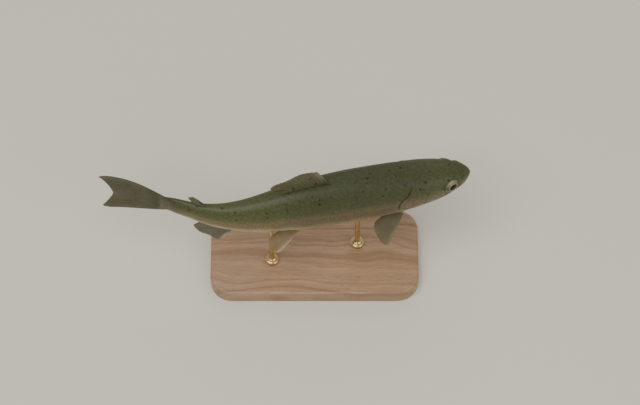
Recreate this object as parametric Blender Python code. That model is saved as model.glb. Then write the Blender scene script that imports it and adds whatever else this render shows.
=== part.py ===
"""A life-size rainbow trout, swimming, held by two rods over a plain base.

Metres, +Z up, +X towards the snout.  The origin is the middle of the base's underside.
Places on the fish are given as a share of its standard length behind the snout, a
distance to its own left and a height over its axis; the axis bends to the side as the
fish swims, and place() turns such a point into the model's frame.
"""

import math

import bmesh
import bpy
import numpy as np
from mathutils import Vector

# ---------------------------------------------------------------- driving dimensions
TOTAL_LENGTH = 0.300
LENGTH = 0.850 * TOTAL_LENGTH  # the standard length: snout to the end of the tail stem
AXIS_HEIGHT = 0.098  # of the fish's axis over the floor
GAP = 0.0003  # between pieces that touch

# The swimming bend: share of the length, and heading in degrees to the left of +X.
HEADINGS = (
    (0.00, 17.5),
    (0.12, 14.0),
    (0.36, 12.0),
    (0.64, 13.0),
    (0.76, 1.0),
    (0.90, -18.0),
    (1.00, -18.0),
    (1.19, 0.0),
)
ANCHOR_SHARE = 0.50  # the share of the length that stands over the middle of the base

# ---------------------------------------------------------------- the body's sections
# Share of the length, then crest, keel and half width, as shares of the length.
SECTIONS = (
    (0.000, 0.029, -0.024, 0.028),
    (0.040, 0.046, -0.038, 0.042),
    (0.100, 0.065, -0.063, 0.061),
    (0.180, 0.084, -0.089, 0.072),
    (0.260, 0.097, -0.105, 0.074),
    (0.400, 0.110, -0.118, 0.072),
    (0.520, 0.107, -0.114, 0.066),
    (0.660, 0.086, -0.090, 0.050),
    (0.800, 0.060, -0.058, 0.031),
    (0.900, 0.046, -0.043, 0.019),
    (0.960, 0.045, -0.042, 0.013),
    (1.000, 0.049, -0.046, 0.008),
)
NOSE_ROUND = 0.050  # the share of the length over which the snout rounds off
NOSE_RINGS = 5
WAIST_RISE = 0.04  # the widest line over mid depth, as a share of the depth
UPPER_FULLNESS = 2.15  # superellipse exponents of a section's two halves
LOWER_FULLNESS = 1.95
RING_POINTS = 32
STATION_STEP = 0.025  # share of the length between rings, closer at the snout

# ---------------------------------------------------------------- lines on the head
# Each is a list of (share of the length, height as a share of the length).
MOUTH_LINE = ((-0.05, -0.003), (0.0, -0.004), (0.05, -0.013), (0.095, -0.028), (0.118, -0.040))
JAW_REAR = ((0.126, -0.060), (0.120, -0.200))
GILL_SLIT = (
    (0.190, 0.200),
    (0.194, 0.085),
    (0.212, 0.048),
    (0.240, 0.018),
    (0.246, -0.014),
    (0.231, -0.052),
    (0.196, -0.082),
    (0.160, -0.200),
)
CHEEK_LINE = ((0.168, 0.046), (0.158, 0.010), (0.157, -0.030), (0.172, -0.066))
COVER_INNER = 0.037  # how far from the middle plane the gill covers are cut
BEYOND = 0.2  # clear of the body on every side, for the cutting blocks
COVER_REAR = 0.30
TRUNK_CUTS = (0.43, 0.70)  # where the trunk is parted from shoulder and tail stem

EYE_SHARE, EYE_HEIGHT = 0.073, 0.019
EYE_RADIUS = 0.0250
EYE_DEPTH = 0.0125  # the eyeball's half thickness, across the head
EYE_STANDS_OUT = 0.0055
EYE_SEGMENTS, EYE_RINGS = 20, 10

# ---------------------------------------------------------------- fins
FIN_ROOT = 0.0022  # thickness at the root and at the margin, in metres
FIN_MARGIN = 0.0007
FIN_EDGE_THINNING = 0.5  # how much thinner a fin is at its leading and trailing edges

# Fins in the middle plane: (share behind the snout, height as a share of the length).
# Every fin's root lies inside the body, which cuts it back.
DORSAL = dict(root_front=(0.445, 0.085), root_rear=(0.585, 0.075),
              tip=(0.494, 0.210), corner=(0.645, 0.152), bulge=0.006, rounding=0.10)
ADIPOSE = dict(root_front=(0.826, 0.041), root_rear=(0.860, 0.037),
               tip=(0.864, 0.092), corner=(0.900, 0.079), bulge=0.005, rounding=0.25)
ANAL = dict(root_front=(0.745, -0.055), root_rear=(0.848, -0.033),
            tip=(0.798, -0.160), corner=(0.892, -0.106), bulge=0.004, rounding=0.12)

# The tail fin: where its margin ends at the fork and at the lobes, and its half spread.
TAIL_ROOT, TAIL_ROOT_HALF = 0.975, 0.044
TAIL_FORK, TAIL_LOBE, TAIL_SPREAD = 1.143, 1.192, 0.100
TAIL_FORK_POWER = 1.7
TAIL_TIP_FROM, TAIL_TIP_ROUND = 0.86, 0.035  # where a lobe's tip rounds off, and by how much
TAIL_EDGE_BOW = 0.012  # how far the upper and lower edges swell outwards

# Paired fins: the outline as (forwards, outwards) from the root's place, which is given as
# (share, distance from the middle plane, height); reach and chord are the ways it points,
# as (forwards, to its own side, up).
PECTORAL = dict(root_front=(0.016, 0.0), root_rear=(-0.018, 0.0),
                tip=(0.034, 0.132), corner=(-0.048, 0.096), bulge=0.008, rounding=0.10)
PECTORAL_ROOT = (0.232, 0.040, -0.066)
PECTORAL_REACH, PECTORAL_CHORD = (-0.66, 0.48, -0.58), (0.75, 0.55, 0.10)
PELVIC = dict(root_front=(0.015, 0.0), root_rear=(-0.015, 0.0),
              tip=(0.018, 0.118), corner=(-0.050, 0.090), bulge=0.012, rounding=0.18)
PELVIC_ROOT = (0.555, 0.018, -0.092)
PELVIC_REACH, PELVIC_CHORD = (-0.80, 0.44, -0.42), (0.40, 0.85, 0.10)

# ---------------------------------------------------------------- stand
BASE_SIZE = (0.170, 0.078, 0.013)
BASE_CORNER = 0.018
BASE_BEVEL = 0.0025
ROD_RADIUS = 0.0020
ROD_SHARES = (0.36, 0.64)  # where the rods meet the belly
COLLAR_RADIUS, COLLAR_HEIGHT = 0.0055, 0.006

SKIN_COLOUR = (0.085, 0.090, 0.045)
FIN_COLOUR = (0.120, 0.110, 0.060)
EYE_COLOUR = (0.55, 0.52, 0.42)
WOOD_COLOUR = (0.42, 0.27, 0.15)
METAL_COLOUR = (0.62, 0.50, 0.30)


# ---------------------------------------------------------------- form of the fish
def smooth_table(shares, values, at):
    """A smooth curve through the table's points, without overshoot between them."""
    shares, values = np.asarray(shares, float), np.asarray(values, float)
    steps = np.diff(shares)
    slopes = np.diff(values) / steps
    tangents = np.empty_like(values)
    tangents[0], tangents[-1] = slopes[0], slopes[-1]
    before, after = 2 * steps[1:] + steps[:-1], steps[1:] + 2 * steps[:-1]
    turning = slopes[:-1] * slopes[1:] <= 0
    safe = np.where(slopes == 0.0, 1.0, slopes)
    mean = (before + after) / (before / safe[:-1] + after / safe[1:])
    tangents[1:-1] = np.where(turning, 0.0, mean)
    at = np.clip(at, shares[0], shares[-1])
    i = np.clip(np.searchsorted(shares, at) - 1, 0, len(steps) - 1)
    t = (at - shares[i]) / steps[i]
    rise, run = values[i + 1] - values[i], steps[i]
    start, end = tangents[i] * run, tangents[i + 1] * run
    return (
        values[i]
        + t * start
        + t**2 * (3 * rise - 2 * start - end)
        + t**3 * (start + end - 2 * rise)
    )


def section(share):
    """Crest, keel, half width and height of the widest line at a share, in metres."""
    table = np.array(SECTIONS)
    crest, keel, width = (smooth_table(table[:, 0], table[:, k], share) for k in (1, 2, 3))
    nose = min(max(share / NOSE_ROUND, 0.0), 1.0)
    rounding = math.sqrt(1 - (1 - nose) ** 2)
    waist = (crest + keel) / 2 + WAIST_RISE * (crest - keel)
    return [float(v) * rounding * LENGTH for v in (crest, keel, width, waist)]


def side_at(share, height):
    """Half width of the body at a share and a height, in metres."""
    crest, keel, width, waist = section(share)
    top = height > waist
    reach = (height - waist) / ((crest if top else keel) - waist)
    power = UPPER_FULLNESS if top else LOWER_FULLNESS
    return width * max(0.0, 1 - min(reach, 1.0) ** power) ** (1 / power)


def ring(share, grow=0.0):
    """One section's outline as (left, height) points, grown outwards by a distance."""
    crest, keel, width, waist = section(share)
    points = []
    for k in range(RING_POINTS):
        angle = 2 * math.pi * k / RING_POINTS
        across, up = math.cos(angle), math.sin(angle)
        half, power = (crest, UPPER_FULLNESS) if up > 0 else (keel, LOWER_FULLNESS)
        left = math.copysign(abs(across) ** (2 / power), across) * (width + grow)
        rise = abs(up) ** (2 / power) * (abs(half - waist) + grow)
        points.append((left, waist + math.copysign(rise, up)))
    return points


def bend_table():
    """The axis as shares, x, y and heading, followed back from the snout."""
    shares = np.arange(-0.3, 1.4, 0.002)
    heading = np.radians(smooth_table(*zip(*HEADINGS), shares))
    step = (shares[1] - shares[0]) * LENGTH
    x, y = -np.cumsum(np.cos(heading)) * step, -np.cumsum(np.sin(heading)) * step
    x -= np.interp(ANCHOR_SHARE, shares, x)
    y -= np.interp(ANCHOR_SHARE, shares, y)
    return shares, x, y, heading


AXIS = bend_table()


def place(share, left=0.0, height=0.0):
    """A point on the fish in the model's frame: left and height are in metres."""
    x, y, heading = (float(np.interp(share, AXIS[0], column)) for column in AXIS[1:])
    return Vector(
        (x - math.sin(heading) * left, y + math.cos(heading) * left, AXIS_HEIGHT + height)
    )


def leftwards(share):
    """The fish's own left at a share of its length."""
    return (place(share, 1.0) - place(share)).normalized()


# ---------------------------------------------------------------- making objects
def material(name, colour, roughness, metallic=0.0):
    made = bpy.data.materials.get(name) or bpy.data.materials.new(name)
    made.use_nodes = True
    shader = made.node_tree.nodes["Principled BSDF"]
    shader.inputs["Base Color"].default_value = (*colour, 1.0)
    shader.inputs["Roughness"].default_value = roughness
    shader.inputs["Metallic"].default_value = metallic
    return made


def add_object(name, mesh, finish=None, cutter=False):
    obj = bpy.data.objects.new(name, mesh)
    bpy.context.scene.collection.objects.link(obj)
    if finish:
        mesh.materials.clear()
        mesh.materials.append(finish)
    mesh.shade_smooth()
    mesh.set_sharp_from_angle(angle=math.radians(50))
    if cutter:
        obj.hide_render = True
        obj.display_type = "WIRE"
    return obj


def mesh_of(name, points, faces):
    """A closed mesh with its faces turned outwards."""
    mesh = bpy.data.meshes.new(name)
    mesh.from_pydata([tuple(p) for p in points], [], faces)
    shaped = bmesh.new()
    shaped.from_mesh(mesh)
    bmesh.ops.recalc_face_normals(shaped, faces=shaped.faces)
    shaped.to_mesh(mesh)
    shaped.free()
    return mesh


def cut(mesh, other, operation="DIFFERENCE"):
    """The mesh after one Boolean with another, as a new mesh."""
    first = bpy.data.objects.new("cut_work", mesh)
    second = bpy.data.objects.new("cut_tool", other)
    for obj in (first, second):
        bpy.context.scene.collection.objects.link(obj)
    boolean = first.modifiers.new("cut", "BOOLEAN")
    boolean.operation = operation
    boolean.object = second
    graph = bpy.context.evaluated_depsgraph_get()
    result = bpy.data.meshes.new_from_object(first.evaluated_get(graph))
    for obj in (first, second):
        bpy.data.objects.remove(obj)
    return result


# ---------------------------------------------------------------- the body
def stations(start, end):
    """Shares of the rings from start to end, closer together where the snout rounds."""
    if start > 0:
        count = max(2, round((end - start) / STATION_STEP) + 1)
        return list(np.linspace(start, end, count))
    quarter = math.pi / 2 / (NOSE_RINGS + 1)
    nose = [NOSE_ROUND * (1 - math.cos(quarter * k)) for k in range(1, NOSE_RINGS + 1)]
    return nose + stations(NOSE_ROUND, end)


def loft(start, end, grow=0.0):
    """The body between two shares, closed at both ends, grown outwards by a distance."""
    shares = stations(start, end)
    points = [place(s, *p) for s in shares for p in ring(s, grow)]
    faces = []
    for i in range(len(shares) - 1):
        for k in range(RING_POINTS):
            after = (k + 1) % RING_POINTS
            a, b = i * RING_POINTS, (i + 1) * RING_POINTS
            faces.append((a + k, a + after, b + after, b + k))
    last = (len(shares) - 1) * RING_POINTS
    faces.append(tuple(range(last, last + RING_POINTS)))
    if start > 0:
        faces.append(tuple(reversed(range(RING_POINTS))))
    else:
        points.append(place(-grow / LENGTH))
        tip = len(points) - 1
        faces += [(tip, (k + 1) % RING_POINTS, k) for k in range(RING_POINTS)]
    return mesh_of("body", points, faces)


def curve_through(outline, pieces=4):
    """Points on a smooth curve through an outline's points, ends included."""
    knots = [Vector(p) for p in outline]
    ends = [2 * knots[0] - knots[1], *knots, 2 * knots[-1] - knots[-2]]
    points = []
    for a, b, c, d in zip(ends, ends[1:], ends[2:], ends[3:]):
        for k in range(pieces):
            t = k / pieces
            points.append(
                0.5 * ((2 * b) + (c - a) * t + (2 * a - 5 * b + 4 * c - d) * t**2
                       + (3 * b - a - 3 * c + d) * t**3)
            )
    return points + [knots[-1]]


def grown(outline, distance):
    """A closed outline moved outwards by a distance, both in shares of the length."""
    count = len(outline)
    area = sum(outline[k - 1].cross(outline[k]) for k in range(count))
    moved = []
    for k in range(count):
        along = (outline[(k + 1) % count] - outline[k - 1]).normalized()
        outward = Vector((along.y, -along.x)) * math.copysign(1, area)
        moved.append(outline[k] + outward * distance)
    return moved


def prism(outline, inner, outer, grow=0.0):
    """A block with the side-view outline, from one distance left of the middle to another."""
    if grow:
        outline = grown(outline, grow / LENGTH)
    count = len(outline)
    points = [place(p.x, y, p.y * LENGTH) for y in (inner - grow, outer + grow) for p in outline]
    sides = [(k, (k + 1) % count, count + (k + 1) % count, count + k) for k in range(count)]
    caps = [tuple(reversed(range(count))), tuple(range(count, 2 * count))]
    return mesh_of("prism", points, sides + caps)


def outwards(share, height, side, step=0.002):
    """The way straight out of the skin at a share and a height, side +1 for the left."""
    left, up = leftwards(share), Vector((0, 0, 1))
    step *= LENGTH
    widening = (side_at(share + step / LENGTH, height) - side_at(share, height)) / step
    narrowing = (side_at(share, height) - side_at(share, height + step)) / step
    return (left * side + left.cross(up) * widening + up * narrowing).normalized()


def eyeball(side, grow=0.0):
    """A flattened ball in the side of the head, side +1 for the left one."""
    height = EYE_HEIGHT * LENGTH
    out = outwards(EYE_SHARE, height, side)
    ahead = leftwards(EYE_SHARE).cross((0, 0, 1))
    ahead = (ahead - out * ahead.dot(out)).normalized()
    above = out.cross(ahead)
    centre = place(EYE_SHARE, side * side_at(EYE_SHARE, height), height)
    centre += out * (EYE_STANDS_OUT - EYE_DEPTH) * LENGTH
    shaped = bmesh.new()
    bmesh.ops.create_uvsphere(
        shaped, u_segments=EYE_SEGMENTS, v_segments=EYE_RINGS, radius=1.0
    )
    radius, depth = EYE_RADIUS * LENGTH + grow, EYE_DEPTH * LENGTH + grow
    for vertex in shaped.verts:
        x, y, z = vertex.co
        vertex.co = centre + ahead * x * radius + above * y * radius + out * z * depth
    shaped.normal_update()
    bmesh.ops.recalc_face_normals(shaped, faces=shaped.faces)
    mesh = bpy.data.meshes.new("eyeball")
    shaped.to_mesh(mesh)
    shaped.free()
    return mesh


def build_body(skin, eye):
    """Head, jaw, gill covers, eyes, shoulder, trunk and tail stem, parted by thin cuts."""
    half_gap = GAP / 2 / LENGTH
    front = loft(0.0, TRUNK_CUTS[0] - half_gap)
    wide, inner = BEYOND * LENGTH, COVER_INNER * LENGTH
    head_outline = curve_through(GILL_SLIT) + [
        Vector((-BEYOND, -BEYOND)),
        Vector((-BEYOND, BEYOND)),
    ]
    jaw_outline = curve_through(MOUTH_LINE) + [Vector(p) for p in JAW_REAR]
    jaw_outline.append(Vector((MOUTH_LINE[0][0], -BEYOND)))
    cover_outline = curve_through(CHEEK_LINE) + [
        Vector((COVER_REAR, CHEEK_LINE[-1][1])),
        Vector((COVER_REAR, CHEEK_LINE[0][1])),
    ]

    add_object("shoulder", cut(front, prism(head_outline, -wide, wide, GAP)), skin)
    head = cut(front, prism(head_outline, -wide, wide), "INTERSECT")
    add_object("lower_jaw", cut(head, prism(jaw_outline, -wide, wide), "INTERSECT"), skin)
    head = cut(head, prism(jaw_outline, -wide, wide, GAP))
    for name, side in (("left", 1), ("right", -1)):
        low, high = sorted((side * inner, side * wide))
        cover = cut(head, prism(cover_outline, low, high), "INTERSECT")
        add_object(f"gill_cover_{name}", cover, skin)
        head = cut(head, prism(cover_outline, low, high, GAP))
        head = cut(head, eyeball(side, GAP))
        add_object(f"eye_{name}", eyeball(side), eye)
    add_object("head", head, skin)
    add_object("trunk", loft(TRUNK_CUTS[0] + half_gap, TRUNK_CUTS[1] - half_gap), skin)
    add_object("tail_stem", loft(TRUNK_CUTS[1] + half_gap, 1.0), skin)


# ---------------------------------------------------------------- fins
def fin_mesh(surface, across, along=10, out=6):
    """A closed thin plate on a surface of u (leading to trailing) and v (root to margin).

    surface gives the point at u, v; across the direction of its thickness there.
    """
    points, faces = [], []
    for side in (0.5, -0.5):
        for i in range(along + 1):
            for j in range(out + 1):
                u, v = i / along, j / out
                thick = FIN_ROOT + (FIN_MARGIN - FIN_ROOT) * v
                thick *= 1 - FIN_EDGE_THINNING * abs(2 * u - 1) ** 4
                thick = max(FIN_MARGIN, thick)
                points.append(surface(u, v) + across(u, v) * side * thick)
    row, layer = out + 1, (along + 1) * (out + 1)
    for i in range(along):
        for j in range(out):
            a = i * row + j
            faces.append((a, a + 1, a + row + 1, a + row))
            faces.append(tuple(layer + n for n in (a + row, a + row + 1, a + 1, a)))
    edge = [i * row for i in range(along)] + [along * row + j for j in range(out)]
    edge += [(along - i) * row + out for i in range(along)] + [out - j for j in range(out)]
    for k in range(len(edge)):
        a, b = edge[k], edge[(k + 1) % len(edge)]
        faces.append((a, b, b + layer, a + layer))
    return mesh_of("fin", points, faces)


def fin_shape(root_front, root_rear, tip, corner, bulge, rounding):
    """A fin's outline as a function of u and v, in a flat plane.

    root_front, root_rear: the root's two ends; tip and corner: the margin's two ends.
    bulge pushes the margin's middle out; rounding takes its two corners back.
    """
    a, b, c, d = (Vector(p) for p in (root_front, root_rear, tip, corner))
    outwards = Vector((-(d - c).y, (d - c).x)).normalized()
    if outwards.dot(c - a) < 0:
        outwards = -outwards

    def shape(u, v):
        root = a.lerp(b, u)
        margin = c.lerp(d, u) + outwards * bulge * 4 * u * (1 - u)
        reach = 1 - rounding * abs(2 * u - 1) ** 5
        return root.lerp(margin, v * reach)

    return shape


def median_fin(name, finish, body, shape, **grid):
    """A fin in the fish's middle plane, whose shape is in shares of the length."""

    def surface(u, v):
        p = shape(u, v)
        return place(p.x, 0.0, p.y * LENGTH)

    def across(u, v):
        return leftwards(shape(u, v).x)

    add_object(name, cut(fin_mesh(surface, across, **grid), body), finish)


def tail_shape(u, v):
    """The tail fin from its lower edge, u = 0, to its upper one, in shares of the length."""
    high = 2 * u - 1
    root = Vector((TAIL_ROOT, TAIL_ROOT_HALF * high))
    swell = (TAIL_LOBE - TAIL_FORK) * abs(high) ** TAIL_FORK_POWER
    tip = max(0.0, (abs(high) - TAIL_TIP_FROM) / (1 - TAIL_TIP_FROM)) ** 2
    margin = Vector((TAIL_FORK + swell - TAIL_TIP_ROUND * tip, TAIL_SPREAD * high))
    bow = TAIL_EDGE_BOW * math.sin(math.pi * v) * high * abs(high)
    return root.lerp(margin, v) + Vector((0, bow))


def paired_fin(name, finish, body, side, root, reach_way, chord_way, shape, **grid):
    """A fin on one side: flat, from a root place, with the ways it reaches and its chord."""
    share, depth, height = root
    start = place(share, side * depth * LENGTH, height * LENGTH)
    frame = [Vector((0, 0, 1)), leftwards(share) * side, leftwards(share).cross((0, 0, 1))]

    def direction(way):
        forward, outward, up = way
        return (frame[2] * forward + frame[1] * outward + frame[0] * up).normalized()

    reach = direction(reach_way)
    chord = direction(chord_way)
    chord = (chord - reach * chord.dot(reach)).normalized()
    normal = reach.cross(chord)

    def surface(u, v):
        p = shape(u, v)
        return start + (reach * p.y + chord * p.x) * LENGTH

    def across(u, v):
        return normal

    add_object(name, cut(fin_mesh(surface, across, **grid), body), finish)


def build_fins(finish):
    body = loft(0.0, 1.0, GAP)
    median_fin("dorsal_fin", finish, body, fin_shape(**DORSAL))
    median_fin("adipose_fin", finish, body, fin_shape(**ADIPOSE), along=8, out=4)
    median_fin("anal_fin", finish, body, fin_shape(**ANAL))
    median_fin("caudal_fin", finish, body, tail_shape, along=20, out=7)
    for word, side in (("left", 1), ("right", -1)):
        paired_fin(f"pectoral_fin_{word}", finish, body, side, PECTORAL_ROOT,
                   PECTORAL_REACH, PECTORAL_CHORD, fin_shape(**PECTORAL))
        paired_fin(f"pelvic_fin_{word}", finish, body, side, PELVIC_ROOT,
                   PELVIC_REACH, PELVIC_CHORD, fin_shape(**PELVIC))


# ---------------------------------------------------------------- stand
def rounded_block(size, corner, bevel, segments=6):
    """A block with rounded corners and a bevelled top edge, standing on z = 0."""
    width, depth, height = size
    outline = []
    for quarter, (sx, sy) in enumerate(((1, 1), (-1, 1), (-1, -1), (1, -1))):
        for k in range(segments + 1):
            angle = math.pi / 2 * (quarter + k / segments)
            outline.append((sx, sy, math.cos(angle), math.sin(angle)))
    levels = [(0.0, 0.0), (0.0, height - bevel), (bevel * 0.3, height - bevel * 0.3), (bevel, height)]
    points = []
    for inset, z in levels:
        for sx, sy, cx, cy in outline:
            x = sx * (width / 2 - corner) + cx * (corner - inset)
            y = sy * (depth / 2 - corner) + cy * (corner - inset)
            points.append((x, y, z))
    count = len(outline)
    faces = [tuple(reversed(range(count)))]
    for level in range(len(levels) - 1):
        for k in range(count):
            a, b = level * count, (level + 1) * count
            after = (k + 1) % count
            faces.append((a + k, a + after, b + after, b + k))
    faces.append(tuple(range((len(levels) - 1) * count, len(levels) * count)))
    return mesh_of("block", points, faces)


def cylinder(x, y, low, high, radius, segments=24):
    points, faces = [], []
    for z in (low, high):
        for k in range(segments):
            angle = 2 * math.pi * k / segments
            points.append((x + radius * math.cos(angle), y + radius * math.sin(angle), z))
    for k in range(segments):
        after = (k + 1) % segments
        faces.append((k, after, segments + after, segments + k))
    faces += [tuple(reversed(range(segments))), tuple(range(segments, 2 * segments))]
    return mesh_of("cylinder", points, faces)


def build_stand(wood, metal):
    """The base, and two rods that end on the belly, each through a collar on the base."""
    add_object("stand_base", rounded_block(BASE_SIZE, BASE_CORNER, BASE_BEVEL), wood)
    body = loft(0.0, 1.0, GAP)
    top = BASE_SIZE[2]
    for word, share in zip(("front", "rear"), ROD_SHARES):
        foot = place(share)
        rod = cylinder(foot.x, foot.y, top + GAP, AXIS_HEIGHT, ROD_RADIUS)
        add_object(f"stand_rod_{word}", cut(rod, body), metal)
        collar = cylinder(foot.x, foot.y, top + GAP, top + COLLAR_HEIGHT, COLLAR_RADIUS)
        bore = cylinder(foot.x, foot.y, 0.0, AXIS_HEIGHT, ROD_RADIUS + GAP)
        add_object(f"stand_collar_{word}", cut(collar, bore), metal)


def main():
    for obj in list(bpy.data.objects):
        bpy.data.objects.remove(obj)
    skin = material("skin", SKIN_COLOUR, 0.35)
    fin = material("fin", FIN_COLOUR, 0.45)
    eye = material("eye", EYE_COLOUR, 0.10)
    wood = material("wood", WOOD_COLOUR, 0.45)
    metal = material("metal", METAL_COLOUR, 0.25, 1.0)
    build_body(skin, eye)
    build_fins(fin)
    build_stand(wood, metal)


main()
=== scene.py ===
"""Dresses the rainbow trout: its skin, scales, rayed fins and eyes, and its display stand.

Metres, +Z up, +X towards the snout.  A place on the fish is a share of its standard
length behind the snout, a distance to its own left and a height over its axis, as in
the solids that carry it.  A place on its skin is a share and a turn: the turn runs from
the keel, at minus a quarter turn, over the widest line, at nought, to the crest.
"""

import logging
import math
from dataclasses import dataclass
from enum import Enum
from functools import cached_property, reduce
from typing import Callable, Sequence

import bpy
import numpy as np
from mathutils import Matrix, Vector


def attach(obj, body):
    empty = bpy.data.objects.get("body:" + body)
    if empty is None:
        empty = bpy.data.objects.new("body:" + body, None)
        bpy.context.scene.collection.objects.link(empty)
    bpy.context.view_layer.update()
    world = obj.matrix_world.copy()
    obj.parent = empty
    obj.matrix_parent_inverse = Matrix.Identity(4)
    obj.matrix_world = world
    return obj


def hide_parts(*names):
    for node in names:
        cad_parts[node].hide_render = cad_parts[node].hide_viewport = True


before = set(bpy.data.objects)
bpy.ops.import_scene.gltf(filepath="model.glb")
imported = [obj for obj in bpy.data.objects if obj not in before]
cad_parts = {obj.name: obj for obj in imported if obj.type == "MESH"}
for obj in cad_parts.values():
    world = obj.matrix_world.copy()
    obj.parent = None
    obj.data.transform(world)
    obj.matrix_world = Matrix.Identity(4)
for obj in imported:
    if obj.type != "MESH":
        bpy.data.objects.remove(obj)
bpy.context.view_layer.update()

LOG = logging.getLogger("rainbow_trout")
MM = 0.001
QUARTER = math.pi / 2
UP = np.array([0.0, 0.0, 1.0])

Array = np.ndarray
Table = tuple[tuple[float, ...], ...]
Triple = tuple[float, float, float]
Faces = list[tuple[int, ...]]
Shape = Callable[[Array, Array], tuple[Array, Array]]
Mesh = bpy.types.Mesh
Material = bpy.types.Material
Socket = bpy.types.NodeSocket


class Side(Enum):
    """The fish's two sides, as the sign of a distance to its own left."""

    LEFT = 1
    RIGHT = -1


class Slot(Enum):
    """The material slots."""

    SKIN = "skin"
    FINS = "fins"
    EYES = "eyes"
    WOOD = "base_wood"
    BRASS = "stand_brass"


# ------------ curves and blends
def smooth_table(table: Table, at: Array, column: int = 1) -> Array:
    """Read a smooth curve through a table, without overshoot between its rows.

    Args:
        table: rows of a place and one or more values, the places rising.
        at: the places to read.
        column: which of a row's values to read.

    Returns:
        The curve's value at each place.
    """
    rows = np.asarray(table, float)
    places, values = rows[:, 0], rows[:, column]
    steps = np.diff(places)
    slopes = np.diff(values) / steps
    tangents = np.empty_like(values)
    tangents[0], tangents[-1] = slopes[0], slopes[-1]
    before, after = 2 * steps[1:] + steps[:-1], steps[1:] + 2 * steps[:-1]
    turning = slopes[:-1] * slopes[1:] <= 0
    safe = np.where(slopes == 0.0, 1.0, slopes)
    mean = (before + after) / (before / safe[:-1] + after / safe[1:])
    tangents[1:-1] = np.where(turning, 0.0, mean)
    at = np.clip(at, places[0], places[-1])
    i = np.clip(np.searchsorted(places, at) - 1, 0, len(steps) - 1)
    t = (at - places[i]) / steps[i]
    rise, run = values[i + 1] - values[i], steps[i]
    start, end = tangents[i] * run, tangents[i + 1] * run
    curve = t**2 * (3 * rise - 2 * start - end) + t**3 * (start + end - 2 * rise)
    return values[i] + t * start + curve


def ease(low: float, high: float, at: Array) -> Array:
    """Rise smoothly from nought at low to one at high."""
    t = np.clip((at - low) / (high - low), 0.0, 1.0)
    return t * t * (3 - 2 * t)


def bell(at: Array, half: float) -> Array:
    """Give a smooth hump, one in the middle and nought from half outwards."""
    return np.clip(1 - (at / half) ** 2, 0.0, 1.0) ** 2


def unit(vectors: Array) -> Array:
    """Scale vectors to length one."""
    return vectors / np.linalg.norm(vectors, axis=-1, keepdims=True)


def through(points: Sequence[Sequence[float]], pieces: int = 8) -> Array:
    """Lay a smooth curve through a few points.

    Args:
        points: the points, in order.
        pieces: how many steps the curve takes from one point to the next.

    Returns:
        The curve's points, ends included.
    """
    knots = np.asarray(points, float)
    ends = np.vstack([2 * knots[0] - knots[1], knots, 2 * knots[-1] - knots[-2]])
    t = (np.arange(pieces) / pieces)[:, None]
    curve = []
    for a, b, c, d in zip(ends, ends[1:], ends[2:], ends[3:]):
        bend = (2 * a - 5 * b + 4 * c - d) * t**2 + (3 * b - a - 3 * c + d) * t**3
        curve.append(0.5 * (2 * b + (c - a) * t + bend))
    return np.vstack([*curve, knots[-1:]])


def follow(line: Array, x: Array, y: Array) -> tuple[Array, Array]:
    """Measure points against a line.

    Args:
        line: the line's points.
        x: the points' first coordinates.
        y: their second ones.

    Returns:
        The distance from the line, positive to the right of its way, and how far along
        the line each point is, from 0 to 1.
    """
    best = np.full(np.shape(x), 1e9)
    along = np.zeros(np.shape(x))
    count = len(line) - 1
    for k in range(count):
        start, way = line[k], line[k + 1] - line[k]
        t = np.clip(((x - start[0]) * way[0] + (y - start[1]) * way[1]) / (way @ way), 0, 1)
        dx, dy = x - start[0] - t * way[0], y - start[1] - t * way[1]
        distance = np.hypot(dx, dy)
        side = np.where(way[1] * dx - way[0] * dy >= 0, 1.0, -1.0)
        nearer = distance < np.abs(best)
        best = np.where(nearer, distance * side, best)
        along = np.where(nearer, (k + t) / count, along)
    return best, along


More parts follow.
